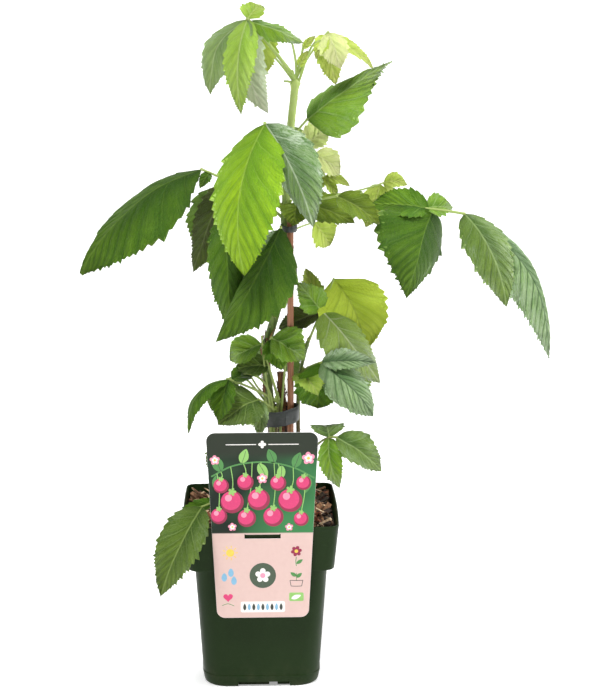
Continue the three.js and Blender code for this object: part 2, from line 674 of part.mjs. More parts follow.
    blades: [
      blade(1, 95, 30, 70, 44, 95, { lift: 1.4 }),
      blade(0.95, 30, 40, 46, 32, 60, { lift: 1 }),
    ] },
  { name: "leaf_back_foot_left", cane: "main_cane", height: 172, heading: 140, rise: 30, reach: 44,
    tint: "mid", bow: 0.1,
    blades: [
      blade(1, 135, 42, 52, 34, 130, { lift: 1 }),
      blade(0.95, 180, 40, 36, 24, 170, { lift: 1 }),
    ] },
  { name: "leaf_back_foot_right", cane: "right_shoot", height: 166, heading: 98, rise: 34, reach: 40,
    tint: "mid", bow: 0.1,
    blades: [
      blade(1, 92, 46, 54, 36, 90, { lift: 1 }),
      blade(0.95, 150, 50, 34, 22, 140, { lift: 1 }),
    ] },
];

// ---------------------------------------------------------------- label

/** A flat plate with the label's outline, wider at the top and round at its four corners. */
function labelOutline() {
  const shape = new THREE.Shape();
  const [top, foot] = [LABEL_TOP_WIDTH / 2, LABEL_BOTTOM_WIDTH / 2];
  const corner = LABEL_CORNER;
  shape.moveTo(-foot + corner, LABEL_BOTTOM_Z);
  shape.lineTo(foot - corner, LABEL_BOTTOM_Z);
  shape.quadraticCurveTo(foot, LABEL_BOTTOM_Z, foot + 0.3, LABEL_BOTTOM_Z + corner);
  shape.lineTo(top, LABEL_TOP_Z - corner);
  shape.quadraticCurveTo(top, LABEL_TOP_Z, top - corner, LABEL_TOP_Z);
  shape.lineTo(-top + corner, LABEL_TOP_Z);
  shape.quadraticCurveTo(-top, LABEL_TOP_Z, -top, LABEL_TOP_Z - corner);
  shape.lineTo(-foot - 0.3, LABEL_BOTTOM_Z + corner);
  shape.quadraticCurveTo(-foot, LABEL_BOTTOM_Z, -foot + corner, LABEL_BOTTOM_Z);
  return shape;
}

function makeLabel() {
  const plate = new THREE.ExtrudeGeometry(labelOutline(), {
    depth: LABEL_THICK, bevelEnabled: false, curveSegments: 4,
  });
  plate.rotateX(Math.PI / 2);
  plate.translate(LABEL_X, LABEL_Y, 0);
  const slot = boxAt(TONGUE_WIDTH + 2, 10, 4, LABEL_X, LABEL_Y, TONGUE_Z - 2);
  const reach = TONGUE_REACH + LABEL_THICK;
  const tongue = boxAt(TONGUE_WIDTH, reach, LABEL_THICK, LABEL_X, LABEL_Y - LABEL_THICK + reach / 2, TONGUE_Z);
  return solid(plate).subtract(slot).add(tongue);
}

// ---------------------------------------------------------------- assembly

addPart("pot", makePot(), COLOURS.pot, 0.5);
addPart("soil", makeSoil(), COLOURS.soil, 0.95);
addPart("label", makeLabel(), COLOURS.label, 0.4);
addPart("stake", makeStake(), COLOURS.stake, 0.6);

const caneCutters = {};
for (const [name, cane] of Object.entries(CANES)) {
  addPart(name, makeCane(cane), cane.colour, 0.6);
  caneCutters[name] = makeCane(cane, CUT_CLEARANCE);
}
const stakeCutter = makeStake(CUT_CLEARANCE);
for (const tie of TIES) {
  addPart(tie.name, makeTie(tie, [stakeCutter, ...Object.values(caneCutters)]), COLOURS.tie, 0.5);
}
const taken = [stakeCutter, ...Object.values(caneCutters)];
for (const leaf of LEAVES) {
  addPart(leaf.name, makeLeaf(leaf, taken), COLOURS[leaf.tint], 0.55);
  taken.push(...leafCutters(leaf));
}

export default root;
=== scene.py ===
"""A young raspberry cane in a square nursery pot, tied to a bamboo stake, with its plant label.

Units are metres; the tables give millimetres, which MM turns into metres. +Z is up and -Y is the
front, where the label is. The origin is the centre of the pot's underside.
"""
import math
import random
from functools import lru_cache
from types import SimpleNamespace

import bmesh
import bpy
from mathutils import Matrix, Vector, noise


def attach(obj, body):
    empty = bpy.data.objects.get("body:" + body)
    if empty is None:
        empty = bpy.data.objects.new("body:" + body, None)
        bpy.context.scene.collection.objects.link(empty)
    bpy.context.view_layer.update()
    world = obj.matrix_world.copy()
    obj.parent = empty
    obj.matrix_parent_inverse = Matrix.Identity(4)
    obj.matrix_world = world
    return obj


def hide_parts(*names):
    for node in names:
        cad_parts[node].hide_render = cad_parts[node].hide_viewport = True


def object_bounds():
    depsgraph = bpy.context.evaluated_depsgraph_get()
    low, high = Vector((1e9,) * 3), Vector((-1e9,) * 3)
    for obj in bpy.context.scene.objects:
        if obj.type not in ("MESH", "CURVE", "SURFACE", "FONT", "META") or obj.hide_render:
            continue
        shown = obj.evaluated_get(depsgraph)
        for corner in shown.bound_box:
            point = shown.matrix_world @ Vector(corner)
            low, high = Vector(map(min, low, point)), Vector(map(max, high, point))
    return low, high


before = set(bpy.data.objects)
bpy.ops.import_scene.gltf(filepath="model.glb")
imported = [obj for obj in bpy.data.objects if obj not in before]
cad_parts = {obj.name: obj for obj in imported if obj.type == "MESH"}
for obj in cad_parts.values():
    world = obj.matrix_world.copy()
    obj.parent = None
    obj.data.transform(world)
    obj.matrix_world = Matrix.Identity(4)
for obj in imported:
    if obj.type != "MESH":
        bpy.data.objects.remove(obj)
cad_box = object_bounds()

MM = 0.001
TURN = 2 * math.pi
QUARTER = TURN / 4
NEARLY_A_TURN = 6.28      # for waves and for angles drawn at random, which need no full turn
UP = Vector((0, 0, 1))
RIGHT = Vector((1, 0, 0))
BACK = Vector((0, 1, 0))

# ------------------------------------------------------------------ sizes, in millimetres

GAP = 0.3
POT_HEIGHT = 147
RIM_HALF = 65
COLLAR_HEIGHT = 39
COLLAR_FOOT = POT_HEIGHT - COLLAR_HEIGHT
BODY_TOP_HALF = 56
FOOT_HALF = 49.3
POT_WALL = 1.5
FLOOR_UNDER = 5
FLOOR_TOP = 7
SIDE_BOW = 1.2
NOTCH_WIDTH = 44
NOTCH_HEIGHT = 4.5
DRAIN_RADIUS = 4
DRAIN_OFFSET = 27

SOIL_TOP = 139
GROUND = SOIL_TOP + GAP

LABEL_TOP_Z = 229
LABEL_BOTTOM_Z = 69
LABEL_TOP_WIDTH = 92
LABEL_BOTTOM_WIDTH = 77
LABEL_CORNER = 7
LABEL_THICK = 0.9
LABEL_X = 1
LABEL_BACK = -(RIM_HALF + SIDE_BOW + GAP)
LABEL_FRONT = LABEL_BACK - LABEL_THICK
TONGUE_WIDTH = 28
TONGUE_Z = 142
TONGUE_REACH = 7

STAKE_X = 26
STAKE_Y = -4
STAKE_TOP = 398
STAKE_RADIUS = 2.7
STAKE_NODES = (196, 295, 372)


# ------------------------------------------------------------------ mesh helpers

def smoothstep(low, high, value):
    """0 below low, 1 above high, and a smooth rise between them."""
    t = min(1.0, max(0.0, (value - low) / (high - low)))
    return t * t * (3 - 2 * t)


def lerp(a, b, t):
    return a + (b - a) * t


def crease(bm, degrees=35):
    """Smooth shading with a sharp edge wherever two faces meet at more than an angle."""
    limit = math.radians(degrees)
    for face in bm.faces:
        face.smooth = True
    for edge in bm.edges:
        edge.smooth = edge.is_manifold and edge.calc_face_angle(0.0) < limit


def add_object(name, data):
    """Links a new object with its data to the scene."""
    thing = bpy.data.objects.new(name, data)
    bpy.context.scene.collection.objects.link(thing)
    return thing


def mesh_object(name, bm):
    """Turns a bmesh into an object."""
    mesh = bpy.data.meshes.new(name)
    bm.to_mesh(mesh)
    bm.free()
    return add_object(name, mesh)


def make_piece(name, bm, materials, slot, *nodes):
    """Turns a bmesh into a piece that rides on the root and stands for some CAD nodes."""
    piece = mesh_object(name, bm)
    for material in materials:
        piece.data.materials.append(material)
    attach(piece, "root")
    if nodes:
        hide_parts(*nodes)
    return piece


def loft(bm, ring_count, around, place, caps=(True, True)):
    """Extrudes a circle ring by ring; place(ring, step) gives each vertex its point in mm."""
    step_of = bm.verts.layers.int.get("step") or bm.verts.layers.int.new("step")
    ring = bmesh.ops.create_circle(bm, segments=around, radius=1)["verts"]
    edges = list({edge for vert in ring for edge in vert.link_edges})
    for step, vert in enumerate(ring):
        vert[step_of] = step
        vert.co = place(0, step) * MM
    made = list(ring)
    if caps[0]:
        bmesh.ops.contextual_create(bm, geom=edges)
    for number in range(1, ring_count):
        geom = bmesh.ops.extrude_edge_only(bm, edges=edges)["geom"]
        ring = [item for item in geom if isinstance(item, bmesh.types.BMVert)]
        edges = [item for item in geom if isinstance(item, bmesh.types.BMEdge)]
        for vert in ring:
            vert.co = place(number, vert[step_of]) * MM
        made += ring
    if caps[1]:
        bmesh.ops.contextual_create(bm, geom=edges)
    faces = list({face for vert in made for face in vert.link_faces})
    bmesh.ops.recalc_face_normals(bm, faces=faces)
    return made


# the side and the face that each corner of a flat strip's section is on
STRIP_CORNERS = ((-1, -1), (1, -1), (1, 1), (-1, 1))


def add_box(bm, low, high):
    """A box between two corners in mm."""
    centre = (Vector(low) + Vector(high)) / 2 * MM
    size = (Vector(high) - Vector(low)) * MM
    matrix = Matrix.Translation(centre) @ Matrix.Diagonal((*size, 1))
    return bmesh.ops.create_cube(bm, size=1, matrix=matrix)["verts"]


def round_edges(bm, edges, offset, segments=2):
    """Bevels edges by an offset in mm."""
    bmesh.ops.bevel(bm, geom=edges, offset=offset * MM, affect="EDGES", segments=segments, profile=0.5,
                    material=-1)


def sharp_edges(bm):
    return [edge for edge in bm.edges if edge.is_manifold and edge.calc_face_angle(0.0) > 1.0]


def carved(bm, cutter, degrees=35):
    """The solid of one bmesh less another, by an exact boolean."""
    pair = [mesh_object("carving", part) for part in (bm, cutter)]
    cut = pair[0].modifiers.new("cut", "BOOLEAN")
    cut.operation = "DIFFERENCE"
    cut.solver = "EXACT"
    cut.object = pair[1]
    bpy.context.view_layer.update()
    result = bmesh.new()
    result.from_object(pair[0], bpy.context.evaluated_depsgraph_get())
    for thing in pair:
        mesh = thing.data
        bpy.data.objects.remove(thing)
        bpy.data.meshes.remove(mesh)
    crease(result, degrees)
    return result


def steps(count):
    """Fractions from 0 to 1 in even steps."""
    return [k / count for k in range(count + 1)]


SPAN_SAMPLES = 40         # samples of a curve between two of its points


def centripetal(path, samples=240):
    """Points of a centripetal Catmull-Rom curve through a path, evenly spaced by length."""
    points = [Vector(p) for p in path]
    points = [points[0] * 2 - points[1]] + points + [points[-1] * 2 - points[-2]]
    dense = []
    for i in range(1, len(points) - 2):
        p0, p1, p2, p3 = points[i - 1:i + 3]
        t1 = (p1 - p0).length ** 0.5
        t2 = t1 + (p2 - p1).length ** 0.5
        t3 = t2 + (p3 - p2).length ** 0.5
        for share in steps(SPAN_SAMPLES)[:-1]:
            t = lerp(t1, t2, share)
            a1 = p0.lerp(p1, t / t1)
            a2 = p1.lerp(p2, (t - t1) / (t2 - t1))
            a3 = p2.lerp(p3, (t - t2) / (t3 - t2))
            b1 = a1.lerp(a2, t / t2)
            b2 = a2.lerp(a3, (t - t1) / (t3 - t1))
            dense.append(b1.lerp(b2, (t - t1) / (t2 - t1)))
    dense.append(points[-2])
    return evenly(dense, samples)


def evenly(points, samples):
    """Points spaced evenly by length along a polyline."""
    lengths = [0.0]
    for a, b in zip(points, points[1:]):
        lengths.append(lengths[-1] + (b - a).length)
    result = []
    k = 0
    for i in range(samples + 1):
        target = lengths[-1] * i / samples
        while k < len(points) - 2 and lengths[k + 1] < target:
            k += 1
        span = lengths[k + 1] - lengths[k]
        result.append(points[k].lerp(points[k + 1], (target - lengths[k]) / max(span, 1e-9)))
    return result


def along(points, t):
    """The point at a fraction of an evenly spaced polyline."""
    place = min(max(t, 0.0), 1.0) * (len(points) - 1)
    k = min(int(place), len(points) - 2)
    return points[k].lerp(points[k + 1], place - k)


def heading_along(points, t, reach=0.02):
    """The way a polyline runs at a fraction of its length."""
    return (along(points, t + reach) - along(points, t - reach)).normalized()


def tube(bm, points, radius, rings, around, level=False):
    """A limb round a line; radius(t, angle) is in mm, level keeps every ring flat as a cut stem."""
    tangents = [heading_along(points, t, 0.01) for t in steps(rings - 1)]
    across = UP.cross(tangents[0])
    if level or across.length < 0.1:
        across = RIGHT
    frames = []
    for tangent in tangents:
        across = (across - tangent * across.dot(tangent)).normalized()
        frames.append((across, tangent.cross(across)))

    def place(ring, step):
        t = ring / (rings - 1)
        angle = TURN * step / around
        size = radius(t, angle)
        side, over = (RIGHT, BACK) if level else frames[ring]
        return along(points, t) + side * (size * math.cos(angle)) + over * (size * math.sin(angle))

    return loft(bm, rings, around, place)


# ------------------------------------------------------------------ node helpers

def fill(tree, socket, value):
    """Links a socket to another one or gives it a value; a colour gets its fourth number here."""
    if isinstance(value, bpy.types.NodeSocket):
        tree.links.new(value, socket)
    elif socket.type == "RGBA":
        socket.default_value = (*value, 1)
    else:
        socket.default_value = value


def put(tree, kind, inputs=None, **settings):
    """Adds a shader node, with values or links for its inputs."""
    node = tree.nodes.new("ShaderNode" + kind)
    for key, value in settings.items():
        setattr(node, key, value)
    for key, value in (inputs or {}).items():
        fill(tree, node.inputs[key], value)
    return node


def calc(tree, operation, a, b=0.0, clamp=False):
    node = put(tree, "Math", {0: a, 1: b}, operation=operation, use_clamp=clamp)
    return node.outputs[0]


def plus(tree, a, b, clamp=False):
    return calc(tree, "ADD", a, b, clamp)


def minus(tree, a, b):
    return calc(tree, "SUBTRACT", a, b)


def times(tree, product, *factors):
    """The product of two or more values."""
    for factor in factors:
        product = calc(tree, "MULTIPLY", product, factor)
    return product


def magnitude(tree, value):
    return calc(tree, "ABSOLUTE", value)


def smooth(tree, value, low, high, start=0.0, end=1.0):
    """A smooth step of a value between two limits."""
    inputs = {"Value": value, "From Min": low, "From Max": high, "To Min": start, "To Max": end}
    return put(tree, "MapRange", inputs, interpolation_type="SMOOTHSTEP").outputs[0]


def mixed(tree, factor, a, b):
    """One colour over another, as thick as a mask says."""
    return put(tree, "Mix", {0: factor, 6: a, 7: b}, data_type="RGBA").outputs[2]


def noisy(tree, where, scale, detail=3.0, rough=0.55):
    inputs = {"Vector": where, "Scale": scale, "Detail": detail, "Roughness": rough}
    return put(tree, "TexNoise", inputs).outputs[0]


def stretched(tree, where, scale):
    """Coordinates stretched by a scale for each axis."""
    return put(tree, "Mapping", {"Vector": where, "Scale": scale}).outputs[0]


def attribute(tree, name):
    return put(tree, "Attribute", attribute_name=name).outputs["Fac"]


def object_place(tree):
    return put(tree, "TexCoord").outputs["Object"]


def height_above_floor(tree):
    return put(tree, "SeparateXYZ", {0: object_place(tree)}).outputs["Z"]


def start_group(name, inputs, outputs):
    """A shader node group with named sockets; an input that starts as a number is a number."""
    tree = bpy.data.node_groups.new(name, "ShaderNodeTree")
    for label, value in inputs.items():
        number = isinstance(value, (int, float))
        kind = "NodeSocketFloat" if number else "NodeSocketColor"
        socket = tree.interface.new_socket(label, in_out="INPUT", socket_type=kind)
        socket.default_value = value if number else (*value, 1)
    for label, kind in outputs.items():
        tree.interface.new_socket(label, in_out="OUTPUT", socket_type="NodeSocket" + kind)
    entry = tree.nodes.new("NodeGroupInput")
    leave = tree.nodes.new("NodeGroupOutput")
    return tree, entry.outputs, leave.inputs


def new_material(name, **values):
    """A material with one Principled shader, whose uniform values stand on its own sockets."""
    material = bpy.data.materials.new(name)
    material.use_nodes = True
    tree = material.node_tree
    shader = next(node for node in tree.nodes if node.type == "BSDF_PRINCIPLED")
    for key, value in values.items():
        fill(tree, shader.inputs[key.replace("_", " ")], value)
    return material, tree, shader


def use_group(tree, group, **values):
    node = tree.nodes.new("ShaderNodeGroup")
    node.node_tree = group
    for key, value in values.items():
        fill(tree, node.inputs[key.replace("_", " ")], value)
    return node.outputs


def finish(look, colour, roughness=None, relief=None, strength=1.0, depth=0.0):
    """Wires a pattern to a material's shader: its colour, and any roughness and relief."""
    material, tree, shader = look
    tree.links.new(colour, shader.inputs["Base Color"])
    if roughness is not None:
        tree.links.new(roughness, shader.inputs["Roughness"])
    if relief is not None:
        bump = put(tree, "Bump", {"Height": relief, "Strength": strength, "Distance": depth})
        tree.links.new(bump.outputs[0], shader.inputs["Normal"])
    return material


# ------------------------------------------------------------------ leaf materials

def vein_net(tree, scale, randomness, width):
    """A net of fine veins between cells, in the blade's own flat coordinates."""
    flat = put(tree, "UVMap", uv_map="blade").outputs[0]
    cells = put(tree, "TexVoronoi", {"Vector": flat, "Scale": scale, "Randomness": randomness},
                feature="DISTANCE_TO_EDGE", voronoi_dimensions="2D").outputs["Distance"]
    return smooth(tree, cells, 0.0, width, 1.0, 0.0)


def leaf_masks(tree, place):
    """Where a leaflet's veins, the pillows between them and its patches and streaks are."""
    wander = times(tree, minus(tree, noisy(tree, place, 95.0, 2.0), 0.5), 0.22)
    rib = plus(tree, attribute(tree, "rib"), wander)
    across = attribute(tree, "across")
    share = magnitude(tree, across)
    from_vein = magnitude(tree, minus(tree, calc(tree, "FRACT", plus(tree, rib, 0.5)), 0.5))
    near = times(tree, from_vein, attribute(tree, "span"))
    ragged = times(tree, minus(tree, noisy(tree, place, 260.0, 2.0), 0.5), 0.3)
    lateral = times(tree, smooth(tree, plus(tree, near, ragged), 0.08, 0.75, 1.0, 0.0),
                    smooth(tree, share, 0.35, 1.0, 1.0, 0.1),
                    smooth(tree, noisy(tree, place, 55.0, 2.0), 0.35, 0.6, 0.45, 1.0))
    midrib = smooth(tree, magnitude(tree, attribute(tree, "off")), 0.35, 0.95, 1.0, 0.0)
    patch = noisy(tree, place, 21.0, 3.0)
    return SimpleNamespace(
        across=across, share=share, near=near, patch=patch, along=attribute(tree, "along"),
        pillow=smooth(tree, from_vein, 0.02, 0.5), mottle=noisy(tree, place, 75.0, 5.0, 0.6),
        vein=calc(tree, "MAXIMUM", times(tree, lateral, 0.75), midrib),
        net=vein_net(tree, 38.0, 0.9, 0.12), fine_net=vein_net(tree, 115.0, 1.0, 0.2),
        beside_rib=put(tree, "CombineXYZ", {0: rib, 1: share, 2: patch}).outputs[0])


def upper_colour(tree, masks, given):
    """Layers of glow, shade and veins over the blade's own colour, with painted light and painted shade
    among them.
    """
    along = masks.along
    # painted shade: one half of the blade darker from the midrib outwards, fading towards the tip, as a half
    # turned from the light
    inner_fold = times(tree, smooth(tree, masks.across, -0.7, -0.12),
                       smooth(tree, masks.across, -0.04, 0.02, 1.0, 0.0),
                       smooth(tree, along, 0.25, 0.9, 0.85, 0.0))
    streak = noisy(tree, stretched(tree, masks.beside_rib, (16, 2.2, 5)), 1.0, 4.0, 0.65)
    layers = (
        (smooth(tree, masks.patch, 0.38, 0.7, 0.0, 0.5), "Glow"),
        # painted light: the blade brighter towards its tip
        (smooth(tree, along, 0.45, 1.0, 0.0, 0.55), "Glow"),
        # painted highlight: the pillows between the veins lighter, as lit tops of the relief
        (times(tree, masks.pillow, 0.45), "Glow"),
        # painted shade: the blade darker towards its foot
        (smooth(tree, along, 0.0, 0.5, 0.5, 0.0), "Shade"),
        (smooth(tree, masks.mottle, 0.40, 0.75, 0.0, 0.45), "Shade"),
        (inner_fold, "Shade"),
        (smooth(tree, streak, 0.42, 0.70, 0.0, 0.62), "Shade"),
        # painted shade in the furrows beside each vein
        (smooth(tree, masks.near, 0.2, 1.8, 0.5, 0.0), "Shade"),
        (times(tree, masks.net, 0.12), "Vein"),
        (times(tree, masks.fine_net, 0.07), "Shade"),
        (times(tree, masks.vein, given["Vein Strength"]), "Vein"),
    )
    colour = given["Blade"]
    for mask, name in layers:
        colour = mixed(tree, mask, colour, given[name])
    return colour


def silver_down(tree, masks, place, given):
    """How thick the silvery down and the painted sheen on it lie: in tufts, towards the margin and past its
    start.
    """
    tufts = noisy(tree, stretched(tree, masks.beside_rib, (9, 5, 9)), 1.0, 5.0, 0.75)
    past_start = minus(tree, masks.along, given["Down From"])
    return times(tree, smooth(tree, tufts, 0.40, 0.58), smooth(tree, masks.share, 0.2, 0.85, 0.3, 1.0),
                 smooth(tree, noisy(tree, place, 30.0, 2.0), 0.38, 0.54, 0.3, 1.0),
                 smooth(tree, past_start, -0.15, 0.15, 0.1, 1.0), given["Down"])


def lower_colour(tree, masks, place, given):
    """The pale felted underside with its raised veins."""
    felt = noisy(tree, place, 420.0, 2.0)
    colour = mixed(tree, times(tree, masks.vein, 0.5), given["Underside"], given["Vein"])
    colour = mixed(tree, smooth(tree, felt, 0.3, 0.8, 0.0, 0.3), colour, given["Blade"])
    return mixed(tree, smooth(tree, masks.patch, 0.4, 0.7, 0.0, 0.4), colour, given["Glow"])


def leaf_skin_group():
    """The living skin of a leaflet: veins, fine net, mottling, painted light and shade, a painted sheen over
    the silvery down and a pale felted underside.
    """
    tree, given, result = start_group(
        "leaf_skin",
        {"Blade": (0.1, 0.2, 0.03), "Vein": (0.3, 0.4, 0.1), "Shade": (0.05, 0.1, 0.02),
         "Glow": (0.2, 0.3, 0.04), "Underside": (0.4, 0.5, 0.35), "Vein Strength": 0.5, "Gloss": 0.4,
         "Down": 0.0, "Down From": 0.0},
        {"Color": "Color", "Roughness": "Float", "Height": "Float"})
    place = object_place(tree)
    masks = leaf_masks(tree, place)
    under = attribute(tree, "under")

    colour = upper_colour(tree, masks, given)
    # painted sheen: a pale silvery colour laid over the down where a glare would show
    colour = mixed(tree, silver_down(tree, masks, place, given), colour, DOWN_COLOUR)
    margin = times(tree, smooth(tree, masks.share, 0.94, 1.0),
                   smooth(tree, masks.mottle, 0.4, 0.6, 0.0, 0.35))
    colour = mixed(tree, margin, colour, MARGIN_COLOUR)
    colour = mixed(tree, under, colour, lower_colour(tree, masks, place, given))
    tree.links.new(colour, result["Color"])

    rough = plus(tree, given["Gloss"], smooth(tree, masks.mottle, 0.25, 0.75, -0.07, 0.12))
    rough = plus(tree, rough, times(tree, under, 0.3), clamp=True)
    tree.links.new(rough, result["Roughness"])

    raised = plus(tree, masks.vein, times(tree, masks.net, 0.6))
    raised = minus(tree, raised, times(tree, masks.pillow, 2.2))
    raised = plus(tree, raised, times(tree, masks.fine_net, 0.25))
    raised = times(tree, raised, smooth(tree, under, 0.0, 1.0, -1.0, 1.0))
    grain = times(tree, noisy(tree, place, 900.0, 2.0), 0.3)
    tree.links.new(plus(tree, raised, grain), result["Height"])
    return tree


# the pale colour of the silvery down and of the painted sheen on it
DOWN_COLOUR = (0.70, 0.83, 0.62)
MARGIN_COLOUR = (0.17, 0.15, 0.035)
LEAF_SKIN = leaf_skin_group()

# blade, vein, shade, glow and underside colours, strength of the veins, roughness, silvery down with
# its painted sheen, how far along the leaflet the down starts, and specular strength
LEAF_TINTS = {
    "dark": ((0.056, 0.131, 0.008), (0.15, 0.26, 0.035), (0.019, 0.060, 0.002), (0.105, 0.200, 0.008),
             (0.12, 0.20, 0.040), 0.34, 0.42, 0.0, 0, 0.16),
    "mid": ((0.085, 0.205, 0.010), (0.22, 0.36, 0.060), (0.030, 0.095, 0.005), (0.165, 0.290, 0.015),
            (0.20, 0.30, 0.08), 0.40, 0.44, 0.0, 0, 0.16),
    "fresh": ((0.180, 0.330, 0.014), (0.36, 0.50, 0.16), (0.070, 0.170, 0.008), (0.25, 0.40, 0.03),
              (0.26, 0.38, 0.12), 0.42, 0.38, 0.9, 0.55, 0.2),
    "soft": ((0.270, 0.380, 0.062), (0.50, 0.60, 0.34), (0.125, 0.215, 0.026), (0.34, 0.46, 0.10),
             (0.30, 0.42, 0.16), 0.62, 0.38, 0.95, 0.35, 0.2),
    "bright": ((0.205, 0.372, 0.014), (0.36, 0.54, 0.09), (0.100, 0.228, 0.010), (0.345, 0.54, 0.016),
               (0.30, 0.44, 0.10), 0.40, 0.44, 0.0, 0, 0.12),
    "spring": ((0.275, 0.420, 0.055), (0.45, 0.58, 0.22), (0.160, 0.290, 0.024), (0.36, 0.52, 0.08),
               (0.36, 0.48, 0.14), 0.42, 0.44, 0.2, 0.4, 0.14),
    "lime": ((0.430, 0.550, 0.085), (0.54, 0.62, 0.24), (0.33, 0.45, 0.055), (0.50, 0.62, 0.15),
             (0.46, 0.56, 0.20), 0.30, 0.48, 0.0, 0, 0.12),
    "cream": ((0.520, 0.600, 0.230), (0.58, 0.65, 0.34), (0.47, 0.55, 0.180), (0.57, 0.66, 0.30),
              (0.54, 0.62, 0.28), 0.22, 0.50, 0.1, 0, 0.10),
    "leafy": ((0.365, 0.530, 0.070), (0.48, 0.60, 0.20), (0.210, 0.360, 0.034), (0.45, 0.60, 0.11),
              (0.40, 0.52, 0.16), 0.36, 0.46, 0.1, 0.5, 0.14),
    "amber": ((0.415, 0.525, 0.055), (0.20, 0.28, 0.03), (0.25, 0.35, 0.022), (0.47, 0.57, 0.07),
              (0.38, 0.50, 0.06), 0.55, 0.48, 0.0, 0, 0.12),
    "pale": ((0.190, 0.300, 0.075), (0.42, 0.52, 0.26), (0.090, 0.170, 0.030), (0.28, 0.39, 0.11),
             (0.36, 0.47, 0.24), 0.40, 0.42, 0.35, 0, 0.2),
    "silver": ((0.430, 0.510, 0.280), (0.56, 0.63, 0.42), (0.300, 0.390, 0.175), (0.52, 0.60, 0.38),
               (0.42, 0.51, 0.31), 0.40, 0.42, 0.6, 0, 0.2),
    # mint's vein colour is dark: painted shade in the sunken veins between the light pillows
    "mint": ((0.235, 0.390, 0.122), (0.018, 0.068, 0.010), (0.043, 0.116, 0.024), (0.41, 0.54, 0.31),
             (0.30, 0.43, 0.23), 0.75, 0.36, 0.6, 0, 0.28),
    "sage": ((0.082, 0.136, 0.015), (0.27, 0.37, 0.10), (0.034, 0.072, 0.008), (0.15, 0.23, 0.030),
             (0.22, 0.30, 0.10), 0.55, 0.44, 0.08, 0, 0.14),
    "satin": ((0.138, 0.222, 0.022), (0.30, 0.42, 0.15), (0.040, 0.095, 0.010), (0.195, 0.300, 0.060),
              (0.24, 0.34, 0.12), 0.55, 0.36, 0.4, 0.15, 0.24),
    "olive": ((0.150, 0.235, 0.016), (0.29, 0.37, 0.08), (0.055, 0.095, 0.008), (0.21, 0.28, 0.030),
              (0.22, 0.28, 0.10), 0.36, 0.46, 0.0, 0, 0.14),
    "blue": ((0.112, 0.228, 0.042), (0.43, 0.53, 0.34), (0.035, 0.098, 0.016), (0.205, 0.335, 0.072),
             (0.28, 0.39, 0.21), 0.75, 0.34, 0.9, 0, 0.26),
    "purple": ((0.068, 0.100, 0.018), (0.20, 0.23, 0.09), (0.036, 0.042, 0.012), (0.10, 0.15, 0.022),
               (0.17, 0.19, 0.10), 0.34, 0.44, 0.0, 0, 0.14),
}

LEAF_LIGHT = 1.55        # thin blades are brighter than their pigment, as light passes through them
PALEST = 0.85


def lit(colour):
    return [min(PALEST, share * LEAF_LIGHT) for share in colour]


def leaf_material(tint):
    pigment, vein, shade, glow, underside, strength, gloss, down, down_from, specular = LEAF_TINTS[tint]
    look = new_material("leaf_" + tint, Specular_IOR_Level=specular, Sheen_Weight=0.05,
                        Sheen_Roughness=0.35)
    # Down and Down From set where the silvery down and its painted sheen lie
    skin = use_group(look[1], LEAF_SKIN, Blade=lit(pigment), Vein=lit(vein), Shade=lit(shade),
                     Glow=lit(glow), Underside=lit(underside), Vein_Strength=strength, Gloss=gloss,
                     Down=down, Down_From=down_from)
    return finish(look, skin["Color"], skin["Roughness"], skin["Height"], 1.0, 0.0008)


TINT_ORDER = list(LEAF_TINTS)
LEAF_MATERIALS = [leaf_material(tint) for tint in TINT_ORDER]


# ------------------------------------------------------------------ other materials

def grain_group():
    """Fibres that run up a stem or along a chip, with darker cracks between them."""
    tree, given, result = start_group(
        "fibre_grain",
        {"Light": (0.4, 0.2, 0.1), "Dark": (0.1, 0.05, 0.02), "Across": 900.0, "Along": 40.0,
         "Cracks": 0.5},
        {"Color": "Color", "Height": "Float"})
    place = object_place(tree)
    scale = put(tree, "CombineXYZ", {0: given["Across"], 1: given["Across"], 2: given["Along"]}).outputs[0]
    where = put(tree, "VectorMath", {0: place, 1: scale}, operation="MULTIPLY").outputs[0]
    fibres = noisy(tree, where, 1.0, 4.0, 0.6)
    slow = noisy(tree, place, 45.0, 3.0)
    colour = mixed(tree, smooth(tree, fibres, 0.35, 0.65), given["Dark"], given["Light"])
    colour = mixed(tree, smooth(tree, slow, 0.4, 0.7, 0.0, 0.5), colour, given["Dark"])
    cracks = times(tree, smooth(tree, fibres, 0.30, 0.42, 1.0, 0.0), given["Cracks"])
    tree.links.new(mixed(tree, cracks, colour, (0.012, 0.008, 0.005)), result["Color"])
    tree.links.new(minus(tree, fibres, cracks), result["Height"])
    return tree


def speckle_group():
    """Fine specks and slow patches that break up a plain colour."""
    tree, given, result = start_group(
        "speckle",
        {"Base": (0.1, 0.1, 0.1), "Specks": (0.2, 0.2, 0.2), "Scale": 600.0, "Amount": 0.3,
         "Roughness": 0.5},
        {"Color": "Color", "Roughness": "Float", "Height": "Float"})
    fine = noisy(tree, object_place(tree), given["Scale"], 3.0)
    slow = noisy(tree, object_place(tree), 28.0, 4.0)
    specks = times(tree, smooth(tree, fine, 0.45, 0.8), given["Amount"])
    patches = times(tree, smooth(tree, slow, 0.35, 0.75), given["Amount"], 0.6)
    colour = mixed(tree, specks, given["Base"], given["Specks"])
    tree.links.new(mixed(tree, patches, colour, given["Specks"]), result["Color"])
    rough = plus(tree, given["Roughness"], smooth(tree, slow, 0.3, 0.7, -0.06, 0.08), clamp=True)
    tree.links.new(rough, result["Roughness"])
    tree.links.new(fine, result["Height"])
    return tree


GRAIN = grain_group()
SPECKLE = speckle_group()
once = lru_cache(maxsize=None)      # a material is built the first time it is asked for


def speckled(tree, base, specks, scale, amount, **values):
    return use_group(tree, SPECKLE, Base=base, Specks=specks, Scale=scale, Amount=amount, **values)


